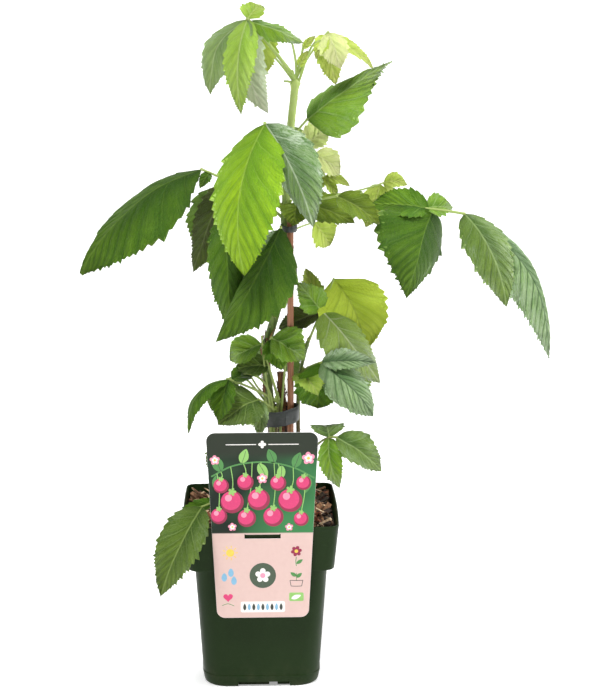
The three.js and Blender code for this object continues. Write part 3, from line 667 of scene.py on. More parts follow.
def fibrous(tree, light, dark, across, along, cracks):
    return use_group(tree, GRAIN, Light=light, Dark=dark, Across=across, Along=along, Cracks=cracks)


@once
def stalk_material():
    look = new_material("leaf_stalk", Roughness=0.5)
    tree = look[1]
    skin = speckled(tree, (0.30, 0.42, 0.09), (0.46, 0.52, 0.20), 220.0, 0.7)
    dark_foot = smooth(tree, height_above_floor(tree), 0.20, 0.34, 0.35, 0.0)
    return finish(look, mixed(tree, dark_foot, skin["Color"], (0.13, 0.13, 0.035)), None, skin["Height"],
                  0.3, 0.0003)


@once
def bud_material():
    look = new_material("axil_bud", Roughness=0.45)
    return finish(look, speckled(look[1], (0.33, 0.46, 0.08), (0.30, 0.16, 0.07), 300.0, 0.6)["Color"])


@once
def prickle_material():
    look = new_material("prickle", Roughness=0.5)
    return finish(look, speckled(look[1], (0.42, 0.44, 0.18), (0.30, 0.10, 0.06), 90.0, 0.95)["Color"])


@once
def green_cane_material():
    """Brown and woody at the foot, dark green in the middle, pale green at the tip."""
    look = new_material("green_cane", Roughness=0.52)
    tree = look[1]
    place = object_place(tree)
    grain = fibrous(tree, (0.21, 0.30, 0.065), (0.09, 0.15, 0.030), 420.0, 30.0, 0.15)
    wander = plus(tree, height_above_floor(tree), times(tree, noisy(tree, place, 30.0, 3.0), 0.05))
    skin = stretched(tree, place, (1, 1, 0.45))
    spots = put(tree, "TexVoronoi", {"Vector": skin, "Scale": 420.0}).outputs[0]
    colour = mixed(tree, smooth(tree, wander, 0.39, 0.50, 0.0, 0.85), grain["Color"], (0.45, 0.58, 0.16))
    colour = mixed(tree, smooth(tree, wander, 0.22, 0.28, 0.9, 0.0), colour, (0.125, 0.055, 0.028))
    colour = mixed(tree, smooth(tree, spots, 0.12, 0.24, 0.75, 0.0), colour, (0.46, 0.50, 0.27))
    return finish(look, colour, None, grain["Height"], 0.5, 0.0004)


@once
def bark_material(name="old_bark", lightness=1.0):
    look = new_material(name, Roughness=0.78)
    light = [min(1.0, share * lightness) for share in (0.30, 0.13, 0.065)]
    grain = fibrous(look[1], light, (0.075, 0.033, 0.018), 520.0, 46.0, 0.85)
    return finish(look, grain["Color"], None, grain["Height"], 0.8, 0.0008)


@once
def bamboo_material():
    """Red brown fibres with a dark ring at each node."""
    look = new_material("bamboo", Roughness=0.5)
    tree = look[1]
    grain = fibrous(tree, (0.44, 0.185, 0.088), (0.27, 0.100, 0.045), 900.0, 22.0, 0.25)
    height = height_above_floor(tree)
    colour = grain["Color"]
    for node in STAKE_NODES:
        away = magnitude(tree, minus(tree, height, node * MM))
        colour = mixed(tree, smooth(tree, away, 0.0006, 0.0032, 0.75, 0.0), colour, (0.13, 0.055, 0.03))
    return finish(look, colour, None, grain["Height"], 0.35, 0.0003)


@once
def tape_material():
    look = new_material("tie_tape")
    skin = speckled(look[1], (0.036, 0.041, 0.040), (0.085, 0.092, 0.090), 260.0, 0.5, Roughness=0.42)
    return finish(look, skin["Color"], skin["Roughness"], skin["Height"], 0.25, 0.0004)


@once
def pot_material():
    """Dark green moulded plastic, a little dusty near the floor."""
    look = new_material("pot_plastic", Specular_IOR_Level=0.1)
    tree = look[1]
    skin = speckled(tree, (0.0110, 0.0250, 0.0055), (0.020, 0.040, 0.012), 900.0, 0.35, Roughness=0.34)
    dust = times(tree, smooth(tree, height_above_floor(tree), 0.0, 0.03, 0.1, 0.0),
                 smooth(tree, noisy(tree, object_place(tree), 80.0, 5.0), 0.4, 0.7))
    colour = mixed(tree, dust, skin["Color"], (0.13, 0.11, 0.07))
    return finish(look, colour, skin["Roughness"], skin["Height"], 0.08, 0.0002)


@once
def mulch_material(name, dark, light):
    look = new_material(name, Roughness=0.85)
    tree = look[1]
    place = object_place(tree)
    fibres = noisy(tree, stretched(tree, place, (1, 0.3, 1)), 700.0, 4.0, 0.65)
    slow = noisy(tree, place, 90.0, 2.0)
    shade = times(tree, smooth(tree, fibres, 0.3, 0.7), smooth(tree, slow, 0.25, 0.75, 0.45, 1.0))
    return finish(look, mixed(tree, shade, dark, light), None, fibres, 0.7, 0.0006)


@once
def card_material():
    """A printed plastic card: a blurred dark green panel over a pale pink one, and a white back."""
    look = new_material("label_card", Roughness=0.4, Specular_IOR_Level=0.2)
    tree = look[1]
    place = object_place(tree)
    spot = put(tree, "SeparateXYZ", {0: place}).outputs
    blur = noisy(tree, stretched(tree, place, (1, 1, 1.6)), 34.0, 2.0, 0.4)
    slow = noisy(tree, stretched(tree, place, (1, 1, 1.3)), 17.0, 1.0)
    lean = plus(tree, times(tree, spot["X"], 5.5), times(tree, spot["Z"], -4.0))
    glow = smooth(tree, plus(tree, plus(tree, lean, 0.75), slow), 0.42, 0.95)
    green = mixed(tree, smooth(tree, blur, 0.35, 0.7), (0.010, 0.018, 0.012), (0.022, 0.052, 0.026))
    green = mixed(tree, times(tree, glow, 0.8), green, (0.055, 0.26, 0.085))
    green = mixed(tree, smooth(tree, spot["Z"], 0.203, 0.214), green, (0.027, 0.035, 0.023))
    pale = mixed(tree, noisy(tree, place, 300.0, 3.0), (0.66, 0.465, 0.425), (0.71, 0.52, 0.475))
    split = PANEL_SPLIT * MM
    front = mixed(tree, smooth(tree, spot["Z"], split - 0.0006, split + 0.0006), pale, green)
    face = LABEL_FRONT * MM
    is_front = smooth(tree, spot["Y"], face + 0.00012, face + 0.0002, 1.0, 0.0)
    colour = mixed(tree, is_front, (0.80, 0.79, 0.76), front)
    return finish(look, colour, None, noisy(tree, place, 1500.0, 2.0), 0.04, 0.0001)


@once
def ink_material(name, colour):
    look = new_material("ink_" + name, Roughness=0.36)
    light = [min(1.0, share * 1.25 + 0.015) for share in colour]
    return finish(look, speckled(look[1], colour, light, 700.0, 0.45)["Color"])


# ------------------------------------------------------------------ limbs

# path, foot radius, tip radius, flare at the foot
CANES = {
    "main_cane": ([(13, 4, GROUND), (10, 4, 222), (6, 6, 262), (6, 8, 285), (11, 8, 303), (20, 6, 338),
                   (22, 5, 377), (23, 5, 411), (25, 4, 453), (28, 2, 486), (31, 0, 514)], 4.2, 3.1, 1.4),
    "old_cane_stub": ([(22, 13, GROUND), (20, 11, 200), (18, 9, 262)], 3.6, 2.8, 1.2),
    "left_shoot": ([(3, -9, GROUND), (12, -10, 200), (16, -9, 243)], 2.0, 1.6, 0.8),
    "right_shoot": ([(36, 10, GROUND), (33, 8, 208), (33, 6.5, 242), (34.5, 5, 262), (41, 4, 290)],
                    2.1, 1.5, 0.8),
}
CANE_LINES = {name: centripetal(cane[0]) for name, cane in CANES.items()}


def point_at_height(name, height):
    """The point of a cane's centre line at a height."""
    line = CANE_LINES[name]
    for a, b in zip(line, line[1:]):
        if b.z >= height:
            return a.lerp(b, (height - a.z) / max(b.z - a.z, 1e-6))
    return line[-1].copy()


# ------------------------------------------------------------------ leaves

def direction(heading, drop):
    """A unit vector from a compass heading (0 = +X, 90 = +Y) and a drop below level, in degrees."""
    level = math.cos(math.radians(drop))
    heading = math.radians(heading)
    return Vector((level * math.cos(heading), level * math.sin(heading), -math.sin(math.radians(drop))))


def blade(at, heading, drop, long, wide, facing, tint=None, lift=0.5, fold=14, sweep=0.0, arch=0.09,
          quilt=1.5, ripple=0.05, broad=0.62, point=0.95, ribs=0):
    """One leaflet: its place along the stalk, how it hangs, its size, and how its blade is shaped.

    fold bends both halves up from the midrib, or each half by its own angle; a negative one lets
    them droop. ribs is the number of side veins in each half, 0 for as many as its length asks.
    """
    return SimpleNamespace(**locals())


def leaf(name, cane, height, heading, rise, reach, tint, blades, thick=1.3, bow=0.1):
    """A compound leaf: the cane that bears it, its stalk, and its leaflets."""
    return SimpleNamespace(**locals())


LEAVES = [
    # the crown's head
    leaf("leaf_top", "main_cane", 511, -149, 47.5, 69, "pale", thick=1.9, bow=0.04, blades=[
        blade(1, -154, 60, 68, 44, -135, fold=-15, sweep=0.09, arch=0.14),
        blade(1, -107, 76, 78, 30, -100, "spring", fold=-25, sweep=0.03, arch=0.23, point=1.1),
        blade(1, -30, 76, 77, 34, -95, "silver", fold=-20, sweep=0.12),
        blade(0.82, 75, 58, 47, 30, -100, "lime", arch=-0.12),
        blade(0.95, -21, 20, 49, 20, -85, "fresh", fold=-35, lift=0.6, arch=0.06, ripple=0.16, ribs=5),
        blade(1, 50, -32, 20, 23, -90, "leafy", lift=2, ripple=0.16),
    ]),
    leaf("leaf_tip_right", "main_cane", 512, 25, 51, 48, "lime", thick=1.1, bow=0.12, blades=[
        blade(1, -50, 62, 33, 26, -85, "cream", fold=-8, lift=0.9),
        blade(0.88, 0, 76, 41, 21, -95, fold=-14),
        blade(0.86, 30, 29, 58, 16, -80, lift=1),
        blade(0.92, -134, 59, 23, 13, -90),
    ]),
    leaf("leaf_tip_bud", "main_cane", 508, -30, 76, 30, "lime", thick=1.3, bow=0, blades=[
        blade(1, -10, -45, 15, 7, -90),
        blade(0.45, -20, -60, 16, 8, -90),
    ]),
    leaf("leaf_upper_right", "main_cane", 461, 30, 43, 24, "mid", bow=0, blades=[
        blade(1, 4, -34, 86, 62, -75, "fresh", lift=1, fold=(-15, -42), arch=0.05, point=1.9, ribs=8,
              quilt=2.2),
    ]),
    leaf("leaf_pale_back", "main_cane", 448, 50, -25, 56, "lime", thick=1.1, bow=0.6, blades=[
        blade(0.35, 30, -30, 27, 24, -80, "cream"),
        blade(0.6, 35, 33, 34, 25, -75, "cream"),
        blade(1, -170, 55, 16, 9, -80),
        blade(1, 0, 62, 22, 10, -80),
        blade(1, 15, 22, 24, 11, -80, lift=0.9),
    ]),
    # the upper whorl
    leaf("leaf_front_pair", "main_cane", 436, -114, 42, 65, "bright", thick=1.6, bow=0.08, blades=[
        blade(0.98, -121, 74, 124, 66, -96, fold=(-40, -12), sweep=0.09, broad=0.7, point=0.9, ribs=9,
              quilt=2.4),
        blade(1, -24, 63, 92, 56, -95, "blue", fold=(-65, -24), sweep=-0.04, ribs=8, quilt=2.6),
    ]),
    leaf("leaf_mid_right", "main_cane", 406, -35, 13, 52, "olive", bow=0, blades=[
        blade(0.25, -15, 18, 50, 30, -85, lift=0.8),
        blade(1, -15, 31, 42, 26, -85, lift=0.8),
        blade(0.2, -110, 60, 20, 26, -85),
    ]),
    leaf("leaf_lime_hanging", "main_cane", 381, 59, 4, 52, "lime", thick=1, bow=0.06, blades=[
        blade(1, 38, 52, 28, 28, -80),
    ]),
    leaf("leaf_thin_stalk", "main_cane", 416, 38, 0, 110, "lime", thick=1.1, bow=-0.1, blades=[
        blade(1, 10, 6, 22, 17, -85, lift=1, arch=0.18),
        blade(0.96, -150, 68, 40, 25, -80),
        blade(1, 59, 37, 20, 14, -70),
    ]),
    leaf("leaf_far_right", "main_cane", 396, -8, 2, 150, "dark", thick=1.7, bow=0.1, blades=[
        blade(0.82, -128, 61, 79, 84, -72, fold=(-10, -50), sweep=0.04, broad=0.5, point=1.15, ribs=9),
        blade(0.78, 15, 0, 24, 24, -80, "fresh", lift=1),
        blade(0.8, 175, -3, 50, 30, -80, "mid", lift=0.8, ribs=8),
        blade(1, -40, 60, 85, 40, -80, "satin", fold=(-35, -15), sweep=-0.06, ribs=8, quilt=2.6),
        blade(1, 5, 59, 146, 52, -70, "mint", fold=(-40, -50), sweep=-0.12, ribs=13, quilt=3.6),
    ]),
    leaf("leaf_far_left", "main_cane", 402, -169, 27, 81, "dark", thick=1.4, bow=0.03, blades=[
        blade(1, -172, 40, 132, 78, -100, fold=(-46, -8), lift=1, sweep=0.07, broad=1.0, point=1.15, ribs=10,
              quilt=2.2),
        blade(0.9, -132, 45, 17, 10, -90),
        blade(0.68, 165, 68, 84, 36, -110, "purple", fold=-12, arch=0.04),
    ]),
    leaf("leaf_left_dark", "main_cane", 362, -160, 39, 69, "dark", bow=0.04, blades=[
        blade(1, -60, 85, 104, 42, -95, fold=(-35, -48)),
    ]),
    leaf("leaf_left_drooping", "main_cane", 352, -98, 57, 48, "dark", bow=0, blades=[
        blade(1, -152, 56, 109, 68, -95, fold=(-65, -22), sweep=-0.04, broad=0.8, point=1.05,
              ribs=8, quilt=2.2),
        blade(0.9, -170, 52, 44, 18, -80, "blue"),
    ]),
    # the right shoot's leaves
    leaf("leaf_right_large", "right_shoot", 286, 12, 67.5, 62, "lime", thick=1.2, bow=-0.02, blades=[
        blade(1, 52, 58, 84, 62, -86, "amber", sweep=-0.06, quilt=0.3, fold=(0, 30), broad=0.4),
        blade(0.53, 7, 52, 83, 45, -80, "soft", lift=0.3, fold=(-8, -36), ribs=9, quilt=2),
        blade(0.52, 125, -57, 40, 18, -100, "lime"),
        blade(0.52, -158, -50, 34, 26, -100, "fresh"),
        blade(0.5, 157, 25, 42, 22, -100, "purple", lift=0.5),
    ]),
    leaf("leaf_right_quilted", "right_shoot", 262, -29, 29, 24, "pale", blades=[
        blade(1, -38, 36, 66, 45, -75, "mint", lift=1, quilt=4.4, fold=(-62, -18), ribs=9),
        blade(0.95, 100, 68, 48, 44, -85, "mid"),
        blade(0.05, -60, 28, 31, 29, -80, "leafy", lift=1),
        blade(1, -8, -1, 46, 21, -75, "mint", lift=0.8, quilt=3, ribs=8),
    ]),
    # the left shoot's leaves
    leaf("leaf_low_left_pair", "left_shoot", 240, -152, 28, 56, "dark", bow=0.06, blades=[
        blade(1, -150, 48, 56, 20, -145, fold=-30, arch=0.28),
        blade(1, -120, 66, 37, 22, -100),
        blade(0.9, 50, -4, 25, 18, -90, lift=1),
    ]),
    leaf("leaf_low_left_pale", "left_shoot", 231, -134, 34, 29, "pale", bow=0.05, blades=[
        blade(1, -153, 23, 42, 46, -90, "sage", lift=1, ribs=7, quilt=2),
        blade(0.8, -120, 78, 30, 14, -90),
    ]),
    leaf("leaf_low_olive", "left_shoot", 242, -150, 72, 54, "olive", bow=0, blades=[
        blade(1, 159, 30, 33, 29, -95, "fresh", lift=1, fold=(42, 14)),
        blade(0.6, -172, 3, 29, 24, -90, "sage", lift=1),
    ]),
    leaf("leaf_low_centre", "main_cane", 284, -80, 30, 26, "mid", bow=0, blades=[
        blade(1, -8, 32, 34, 36, -90, "fresh", lift=1),
        blade(0.9, -40, 66, 28, 24, -80),
    ]),
    leaf("leaf_low_right", "right_shoot", 175, -48, 40, 59, "mid", bow=0.3, blades=[
        blade(0.85, 94, -8, 26, 30, -90, "satin", lift=1.3),
        blade(0.84, -62, 66, 44, 22, -80, "fresh", sweep=0.1, ribs=6),
        blade(1, -11, 36, 48, 33, -75, "satin", lift=1, ribs=6, quilt=2.4),
    ]),
    leaf("leaf_over_rim", "left_shoot", 159, -142, 2, 71, "mid", thick=1.2, blades=[
        blade(1, -137, 55, 82, 40, -94, "sage", lift=1, arch=0.14, ribs=9, quilt=1.6),
        blade(0.75, -175, 25, 46, 14, -110, "dark", lift=1),
    ]),
    # the back of the crown
    leaf("leaf_back_head", "main_cane", 508, 146, 43.5, 46, "pale", thick=1.1, bow=0.06, blades=[
        blade(1, 150, 58, 46, 30, 110),
        blade(0.95, 178, 46, 34, 24, 120, "lime"),
    ]),
    leaf("leaf_back_upper", "main_cane", 440, 97, 32, 52, "mid", thick=1.4, bow=0.08, blades=[
        blade(1, 95, 46, 86, 52, 95, lift=1),
        blade(0.95, 158, 60, 62, 38, 130),
        blade(0.95, 60, 66, 56, 34, 60),
    ]),
    leaf("leaf_back_left", "main_cane", 393, 140, 26, 62, "dark", bow=0.08, blades=[
        blade(1, 128, 58, 88, 52, 120, lift=1),
        blade(0.95, 178, 66, 62, 36, 150),
        blade(0.95, 80, 64, 60, 34, 80),
    ]),
    leaf("leaf_back_middle", "main_cane", 334, 140, 38, 52, "dark", bow=0.06, blades=[
        blade(1, 122, 66, 74, 42, 120),
    ]),
    leaf("leaf_back_low_right", "right_shoot", 250, 32, 24, 44, "mid", bow=0.08, blades=[
        blade(1, 40, 52, 52, 38, 60, lift=1),
        blade(0.95, 84, 58, 44, 30, 100),
    ]),
    leaf("leaf_back_low_left", "left_shoot", 226, 128, 32, 52, "mid", bow=0.08, blades=[
        blade(1, 130, 38, 60, 38, 130, lift=1),
        blade(0.95, 178, 52, 42, 26, 160),
    ]),
    leaf("leaf_back_low", "main_cane", 236, 96, 42, 56, "dark", bow=0.08, blades=[
        blade(1, 95, 30, 70, 44, 95, lift=1.4),
        blade(0.95, 30, 40, 46, 32, 60, lift=1),
    ]),
    leaf("leaf_back_foot_left", "main_cane", 172, 140, 30, 44, "mid", blades=[
        blade(1, 135, 42, 52, 34, 130, lift=1),
        blade(0.95, 180, 40, 36, 24, 170, lift=1),
    ]),
    leaf("leaf_back_foot_right", "right_shoot", 166, 98, 34, 40, "mid", blades=[
        blade(1, 92, 46, 54, 36, 90, lift=1),
        blade(0.95, 150, 50, 34, 22, 140, lift=1),
    ]),
]

TEETH_PER_VEIN = 3
ROWS_PER_TOOTH = 4
ROWS_PER_VEIN = TEETH_PER_VEIN * ROWS_PER_TOOTH
TOOTH_RISE = 0.36         # how far a tooth rises from one row to the next
LESSER_TOOTH = 0.6        # size of a tooth that no vein runs to
TOOTH_SIZES = (0.55, 1.3)
TOOTH_DEPTH = (1.6, 0.09, 0.24)   # in mm, and as a share of the half width, and its largest share
BLADE_THICK = 0.4
MIDRIB_GROOVE = 0.3
GROOVE_REACH = 1.1
MIDRIB_RIDGE = 0.45
VEIN_RIDGE = 0.3
VEIN_LEAN = 1.9           # how far a side vein runs ahead for each mm that it runs out
MOST_LEAN = 0.62          # of the leaflet's length
RUMPLE = 0.14             # unevenness, as a share of the half width
LARGE_LEAFLET = 45
FLAT_UNIT = 100           # mm of leaflet to one unit of its flat map


def outline(t, row):
    """Half width of a leaflet at a fraction of its length, 1 at the widest."""
    widest = row.broad / (row.broad + row.point)
    t = min(max(t, 0.0), 1.0)
    return (t / widest) ** row.broad * ((1 - t) / (1 - widest)) ** row.point


def tooth(number, depths):
    """How far the margin stands out at a row: each tooth rises slowly and drops at once past its tip."""
    phase = number % ROWS_PER_TOOTH
    tip = -(-number // ROWS_PER_TOOTH)
    height = 1.0 if phase == 0 else (phase - 1) * TOOTH_RISE
    size = 1.0 if tip % TEETH_PER_VEIN == 0 else LESSER_TOOTH
    return height * size * depths[tip % len(depths)]


def blade_frame(row):
    chord = direction(row.heading, row.drop)
    facing = math.radians(row.facing)
    normal = Vector((math.cos(facing), math.sin(facing), row.lift))
    normal = (normal - chord * normal.dot(chord)).normalized()
    return chord, normal, chord.cross(normal)


def half_section(reach, bend):
    """Sideways and upward shares of a half blade that bends more the further out it is."""
    if abs(bend) < 0.02:
        return reach, reach * bend
    turned = bend * (0.5 + reach)
    return ((math.sin(turned) - math.sin(bend / 2)) / bend,
            (math.cos(bend / 2) - math.cos(turned)) / bend)


def leaflet_shape(row, base, seed):
    """A function from row number and place across to a point on the leaflet, and its way off the midrib."""
    rng = random.Random(seed)
    chord, normal, side = blade_frame(row)
    rows = row.veins * ROWS_PER_VEIN
    teeth = TEETH_PER_VEIN * row.veins + 2
    depths = [[rng.uniform(*TOOTH_SIZES) for _ in range(teeth)] for _ in range(2)]
    phases = (rng.uniform(0, NEARLY_A_TURN), rng.uniform(0, NEARLY_A_TURN))
    waves = rng.uniform(1.6, 2.6)
    start = Vector((seed * 1.37, seed * 0.71, 0))
    half_max = row.wide / 2
    lean = min(MOST_LEAN, VEIN_LEAN * half_max / row.long)
    relief = row.quilt * min(1.0, row.long / 90) * 0.9
    least, share, most = TOOTH_DEPTH
    depth = min(least + share * half_max, most * half_max)
    folds = row.fold if isinstance(row.fold, tuple) else (row.fold, row.fold)
    bends = [math.radians(fold) for fold in folds]

    def rumpled(t, a, reach):
        """Slow and quick bumps, flat at the foot."""
        slow = noise.noise(start + Vector((t * 2.4, a * 0.9, 0))) * smoothstep(0.0, 0.3, t)
        quick = noise.noise(start + Vector((t * 6.5, a * 2.4, 5))) * reach * smoothstep(0.0, 0.2, t)
        return RUMPLE * half_max * (slow + 0.4 * quick)

    def shape(number, a, under):
        s = number / rows
        reach = abs(a)
        half_number = 0 if a > 0 else 1

        # side veins run ahead, so the rows crowd towards the tip and the margin
        ahead = lean * (0.35 + 0.65 * smoothstep(0, 0.3, s)) * outline(s, row) * reach ** 0.95
        left_over = max(1 - s, 1e-6)
        crowd = math.exp(-ahead / left_over)
        t = s + left_over * (1 - crowd)

        toothed = smoothstep(0.03, 0.12, t) * (1 - smoothstep(0.9, 0.985, t)) * smoothstep(0.72, 1.0, reach)
        out = tooth(number, depths[half_number]) * toothed * min(1.0, crowd * (1 + ahead / left_over))
        half = half_max * outline(t, row)
        width = half * reach + depth * (out - 0.3 * toothed)
        length = row.long * (t + 1.1 / rows * out)
        bulge = 4 * t * (1 - t)

        between = abs(math.sin(math.pi * s * row.veins)) ** 0.7
        quilt = relief * (between - 0.5) * smoothstep(0.0, 0.3, reach) * (1 - 0.45 * reach)
        quilt *= smoothstep(0.0, 0.08, s) * (1 - smoothstep(0.85, 1.0, s))
        sideways, upwards = half_section(reach, bends[half_number])
        wave = math.sin(NEARLY_A_TURN * waves * t + phases[half_number])
        wavy = row.ripple * half * reach ** 2 * wave
        height = row.arch * row.long * bulge + half * upwards + quilt + wavy + rumpled(t, a, reach)

        groove = math.exp(-(width / GROOVE_REACH) ** 2) * (1 - t)
        if under:
            ridge = MIDRIB_RIDGE * groove + VEIN_RIDGE * (1 - between) ** 3 * smoothstep(0.0, 0.2, reach)
            height -= BLADE_THICK * (1 - reach ** 4) + ridge * (1 - reach)
        else:
            height -= MIDRIB_GROOVE * groove
        lateral = math.copysign(width * sideways / max(reach, 1e-6), a) + row.sweep * row.long * bulge
        return base + chord * length + side * lateral + normal * height, width

    return shape


# what the leaf skin reads: the number of the side vein, the place across and along the blade, the
# distance between two side veins and the way off the midrib in mm
LEAF_LAYERS = ("rib", "across", "along", "span", "off")
LEAF_MAPS = ("blade", "OFBake")


def add_leaflet(bm, row, base, seed, cell, cells):
    """Folds one grid into a closed thin leaflet: the upper side out and the lower side back."""
    layers = [bm.verts.layers.float[name] for name in LEAF_LAYERS]
    across = bm.verts.layers.float["across"]
    under = bm.faces.layers.float["under"]
    flat, baked = (bm.loops.layers.uv[name] for name in LEAF_MAPS)
    row.veins = row.ribs or max(5, min(10, round(row.long / 11)))
    half_columns = 10 if row.long > LARGE_LEAFLET else 6
    edge_on = 2 * half_columns
    rows = row.veins * ROWS_PER_VEIN
    shape = leaflet_shape(row, base, seed)
    verts = bmesh.ops.create_grid(bm, x_segments=rows, y_segments=2 * edge_on, size=0.5)["verts"]
    spot = {}
    for vert in verts:
        i = round((vert.co.x + 0.5) * rows)
        j = round((vert.co.y + 0.5) * 2 * edge_on)
        spot[vert] = (i, j, 3 - j / half_columns if j > edge_on else j / half_columns - 1)
    for vert, (i, j, a) in spot.items():
        point, width = shape(i, a, j > edge_on)
        off = width if abs(a) > 1e-6 else 0.0
        for layer, value in zip(layers, (i / ROWS_PER_VEIN, a, i / rows, row.long / row.veins, off)):
            vert[layer] = value
        vert.co = point * MM
    faces = {face for vert in verts for face in vert.link_faces}
    tint = TINT_ORDER.index(row.tint)
    for face in faces:
        below = sum(spot[vert][1] for vert in face.verts) / 4 > edge_on
        face[under] = 1.0 if below else 0.0
        face.material_index = tint
        face.smooth = True
        strip = 2 * cell + (1 if below else 0)
        low, high = ((strip + inset) / (2 * cells) for inset in (0.04, 0.96))
        for loop in face.loops:
            i, j, a = spot[loop.vert]
            loop[flat].uv = (row.long * i / rows / FLAT_UNIT, row.wide / 2 * a / FLAT_UNIT)
            share = (j - edge_on if below else j) / edge_on
            loop[baked].uv = (lerp(0.01, 0.99, i / rows), lerp(low, high, share))
    bmesh.ops.remove_doubles(bm, verts=verts, dist=2e-6)
    for edge in {edge for face in faces if face.is_valid for edge in face.edges}:
        if all(abs(vert[across]) > 0.999 for vert in edge.verts):
            edge.smooth = False


def stalk_line(row):
    """The stalk's line: a quadratic curve that the bow lifts in the middle."""
    start = point_at_height(row.cane, row.height)
    end = start + direction(row.heading, -row.rise) * row.reach
    middle = (start + end) / 2 + UP * (row.bow * row.reach)
    curve = [start * (1 - t) ** 2 + middle * (2 * t * (1 - t)) + end * t ** 2 for t in steps(24)]
    return evenly(curve, 60)


def make_leaf(row, seed):
    bm = bmesh.new()
    for name in LEAF_LAYERS:
        bm.verts.layers.float.new(name)
    bm.faces.layers.float.new("under")
    for name in LEAF_MAPS:
        bm.loops.layers.uv.new(name)
    line = stalk_line(row)
    for number, leaflet in enumerate(row.blades):
        leaflet.tint = leaflet.tint or row.tint
        base = along(line, min(leaflet.at, 1 - 1 / row.reach))
        add_leaflet(bm, leaflet, base, seed * 10 + number, number, len(row.blades))
    return make_piece(row.name + "_blades", bm, LEAF_MATERIALS, "leaf_" + row.tint, row.name)


# ------------------------------------------------------------------ stalks, stipules and buds

FLARE_FADE = 25           # how fast the flare at a cane's foot fades along the cane


def plain_radius(foot, tip, flare, t):
    """A cane's radius by its taper and flare alone."""
    return lerp(foot, tip, t) + flare * math.exp(-t * FLARE_FADE)


def ridged_radius(foot, tip, flare, nodes, seed, rough=0.12):
    """A cane's radius: taper, flare, swollen nodes, faint ridges and a bumpy skin."""
    def radius(t, angle):
        size = plain_radius(foot, tip, flare, t)
        for node in nodes:
            size += 0.55 * math.exp(-((t - node) / 0.009) ** 2)
        size += 0.06 * math.cos(5 * angle + 6 * t)
        spot = Vector((math.cos(angle) * 1.5, math.sin(angle) * 1.5, t * 60 + seed))
        return size + rough * noise.noise(spot)
    return radius


def add_cone(bm, place, towards, length, radius, sides=4):
    """A slim cone that stands on a point in mm."""
    towards = towards.normalized()
    turn = towards.to_track_quat("Z", "Y").to_matrix().to_4x4()
    matrix = Matrix.Translation((place + towards * length / 2) * MM) @ turn
    bmesh.ops.create_cone(bm, cap_ends=True, segments=sides, radius1=radius * MM,
                          radius2=radius * 0.08 * MM, depth=length * MM, matrix=matrix)


def stalk_radius(row, t):
    return row.thick * (1 - 0.32 * t)


# bare young stalks at the foot and the tip, too thin for a solid of their own
YOUNG_STALKS = (
    [(31, 0, 508), (31, -2, 522), (29, -3, 535), (27, -4, 543)],
    [(32, 0, 506), (36, -3, 518), (40, -4, 530), (46, -5, 541), (51, -5, 543)],
    [(29, 0, 504), (26, -2, 509), (21, -4, 510)],
    [(9, -10, 212), (8, -14, 240), (4, -16, 270), (1.6, -15, 299)],
    [(12, -10, 212), (8, -15, 250), (-2, -17, 264), (-17, -20, 267), (-32, -22, 261)],
    [(17, -8, 212), (19, -10, 245), (21, -10, 268), (24, -9, 290)],
    [(10, -10, 214), (4, -14, 246), (-3, -15, 256), (-9, -16, 267)],
)


def build_stalks():
    """Every leaf's stalk, swollen where it joins its cane and where its leaflets part."""
    bm = bmesh.new()
    for row in LEAVES:
        def radius(t, angle):
            size = stalk_radius(row, t) + 0.5 * row.thick * math.exp(-t * row.reach / 4)
            size += 0.25 * math.exp(-((1 - t) * row.reach / 3) ** 2)
            return size * (1 - 0.1 * max(0, math.sin(angle)))

        tube(bm, stalk_line(row), radius, max(14, int(row.reach / 3)), 8)
    for path in YOUNG_STALKS:
        tube(bm, centripetal(path, 60), lambda t, angle: 1.15 - 0.35 * t, 26, 8)
    crease(bm, 60)
    make_piece("leaf_stalks", bm, [stalk_material()], "green_cane")


def build_stipules():
    """Two narrow stipules at the foot of each stalk, and a bud in its axil."""
    rng = random.Random(5)
    narrow, buds = bmesh.new(), bmesh.new()
    for row in LEAVES:
        stout = row.cane == "main_cane"
        line = stalk_line(row)
        ahead = (line[8] - line[2]).normalized()
        side = ahead.cross(UP).normalized()
        foot = line[0] + ahead * (4.2 if stout else 2.4)
        for sign in (-1, 1):
            length = rng.uniform(4.5, 8)
            bend = rng.uniform(0.2, 0.8)
            points = [foot + side * (sign * (0.9 + 0.5 * length * t)) + ahead * (2 + length * 0.6 * t)
                      + UP * (length * (0.5 * t - bend * t * t)) for t in steps(6)]
            tube(narrow, evenly(points, 12), lambda t, angle: 0.45 * (1 - t) + 0.08, 7, 5)
        centre = line[0] + ahead * (4.6 if stout else 2.8) + UP * 2.6
        turn = (UP + ahead * 0.7).to_track_quat("Z", "Y").to_matrix().to_4x4()
        shape = Matrix.Translation(centre * MM) @ turn @ Matrix.Diagonal((1, 1, 1.9, 1))
        bmesh.ops.create_uvsphere(buds, u_segments=8, v_segments=6, radius=1.05 * MM, matrix=shape)
    crease(narrow, 70)
    crease(buds, 70)
    make_piece("stipules", narrow, [stalk_material()], "green_cane")
    make_piece("axil_buds", buds, [bud_material()], "green_cane")


# ------------------------------------------------------------------ canes

def nodes_on(cane):
    """Where a cane's leaves leave it, as fractions of its length."""
    line = CANE_LINES[cane]
    low, high = line[0].z, line[-1].z
    return [(row.height - low) / (high - low) for row in LEAVES if row.cane == cane]


def tapered_end(radius):
    """The same radius, closing to a soft growing tip over the last few millimetres."""
    return lambda t, angle: radius(t, angle) * (1 - 0.7 * smoothstep(0.982, 1.0, t))


# rings along, points round and roughness of each cane's bark
CANE_BARK = {"main_cane": (170, 20, 0.16), "left_shoot": (60, 12, 0.08), "right_shoot": (70, 12, 0.08),
             "old_cane_stub": (90, 24, 0.5)}


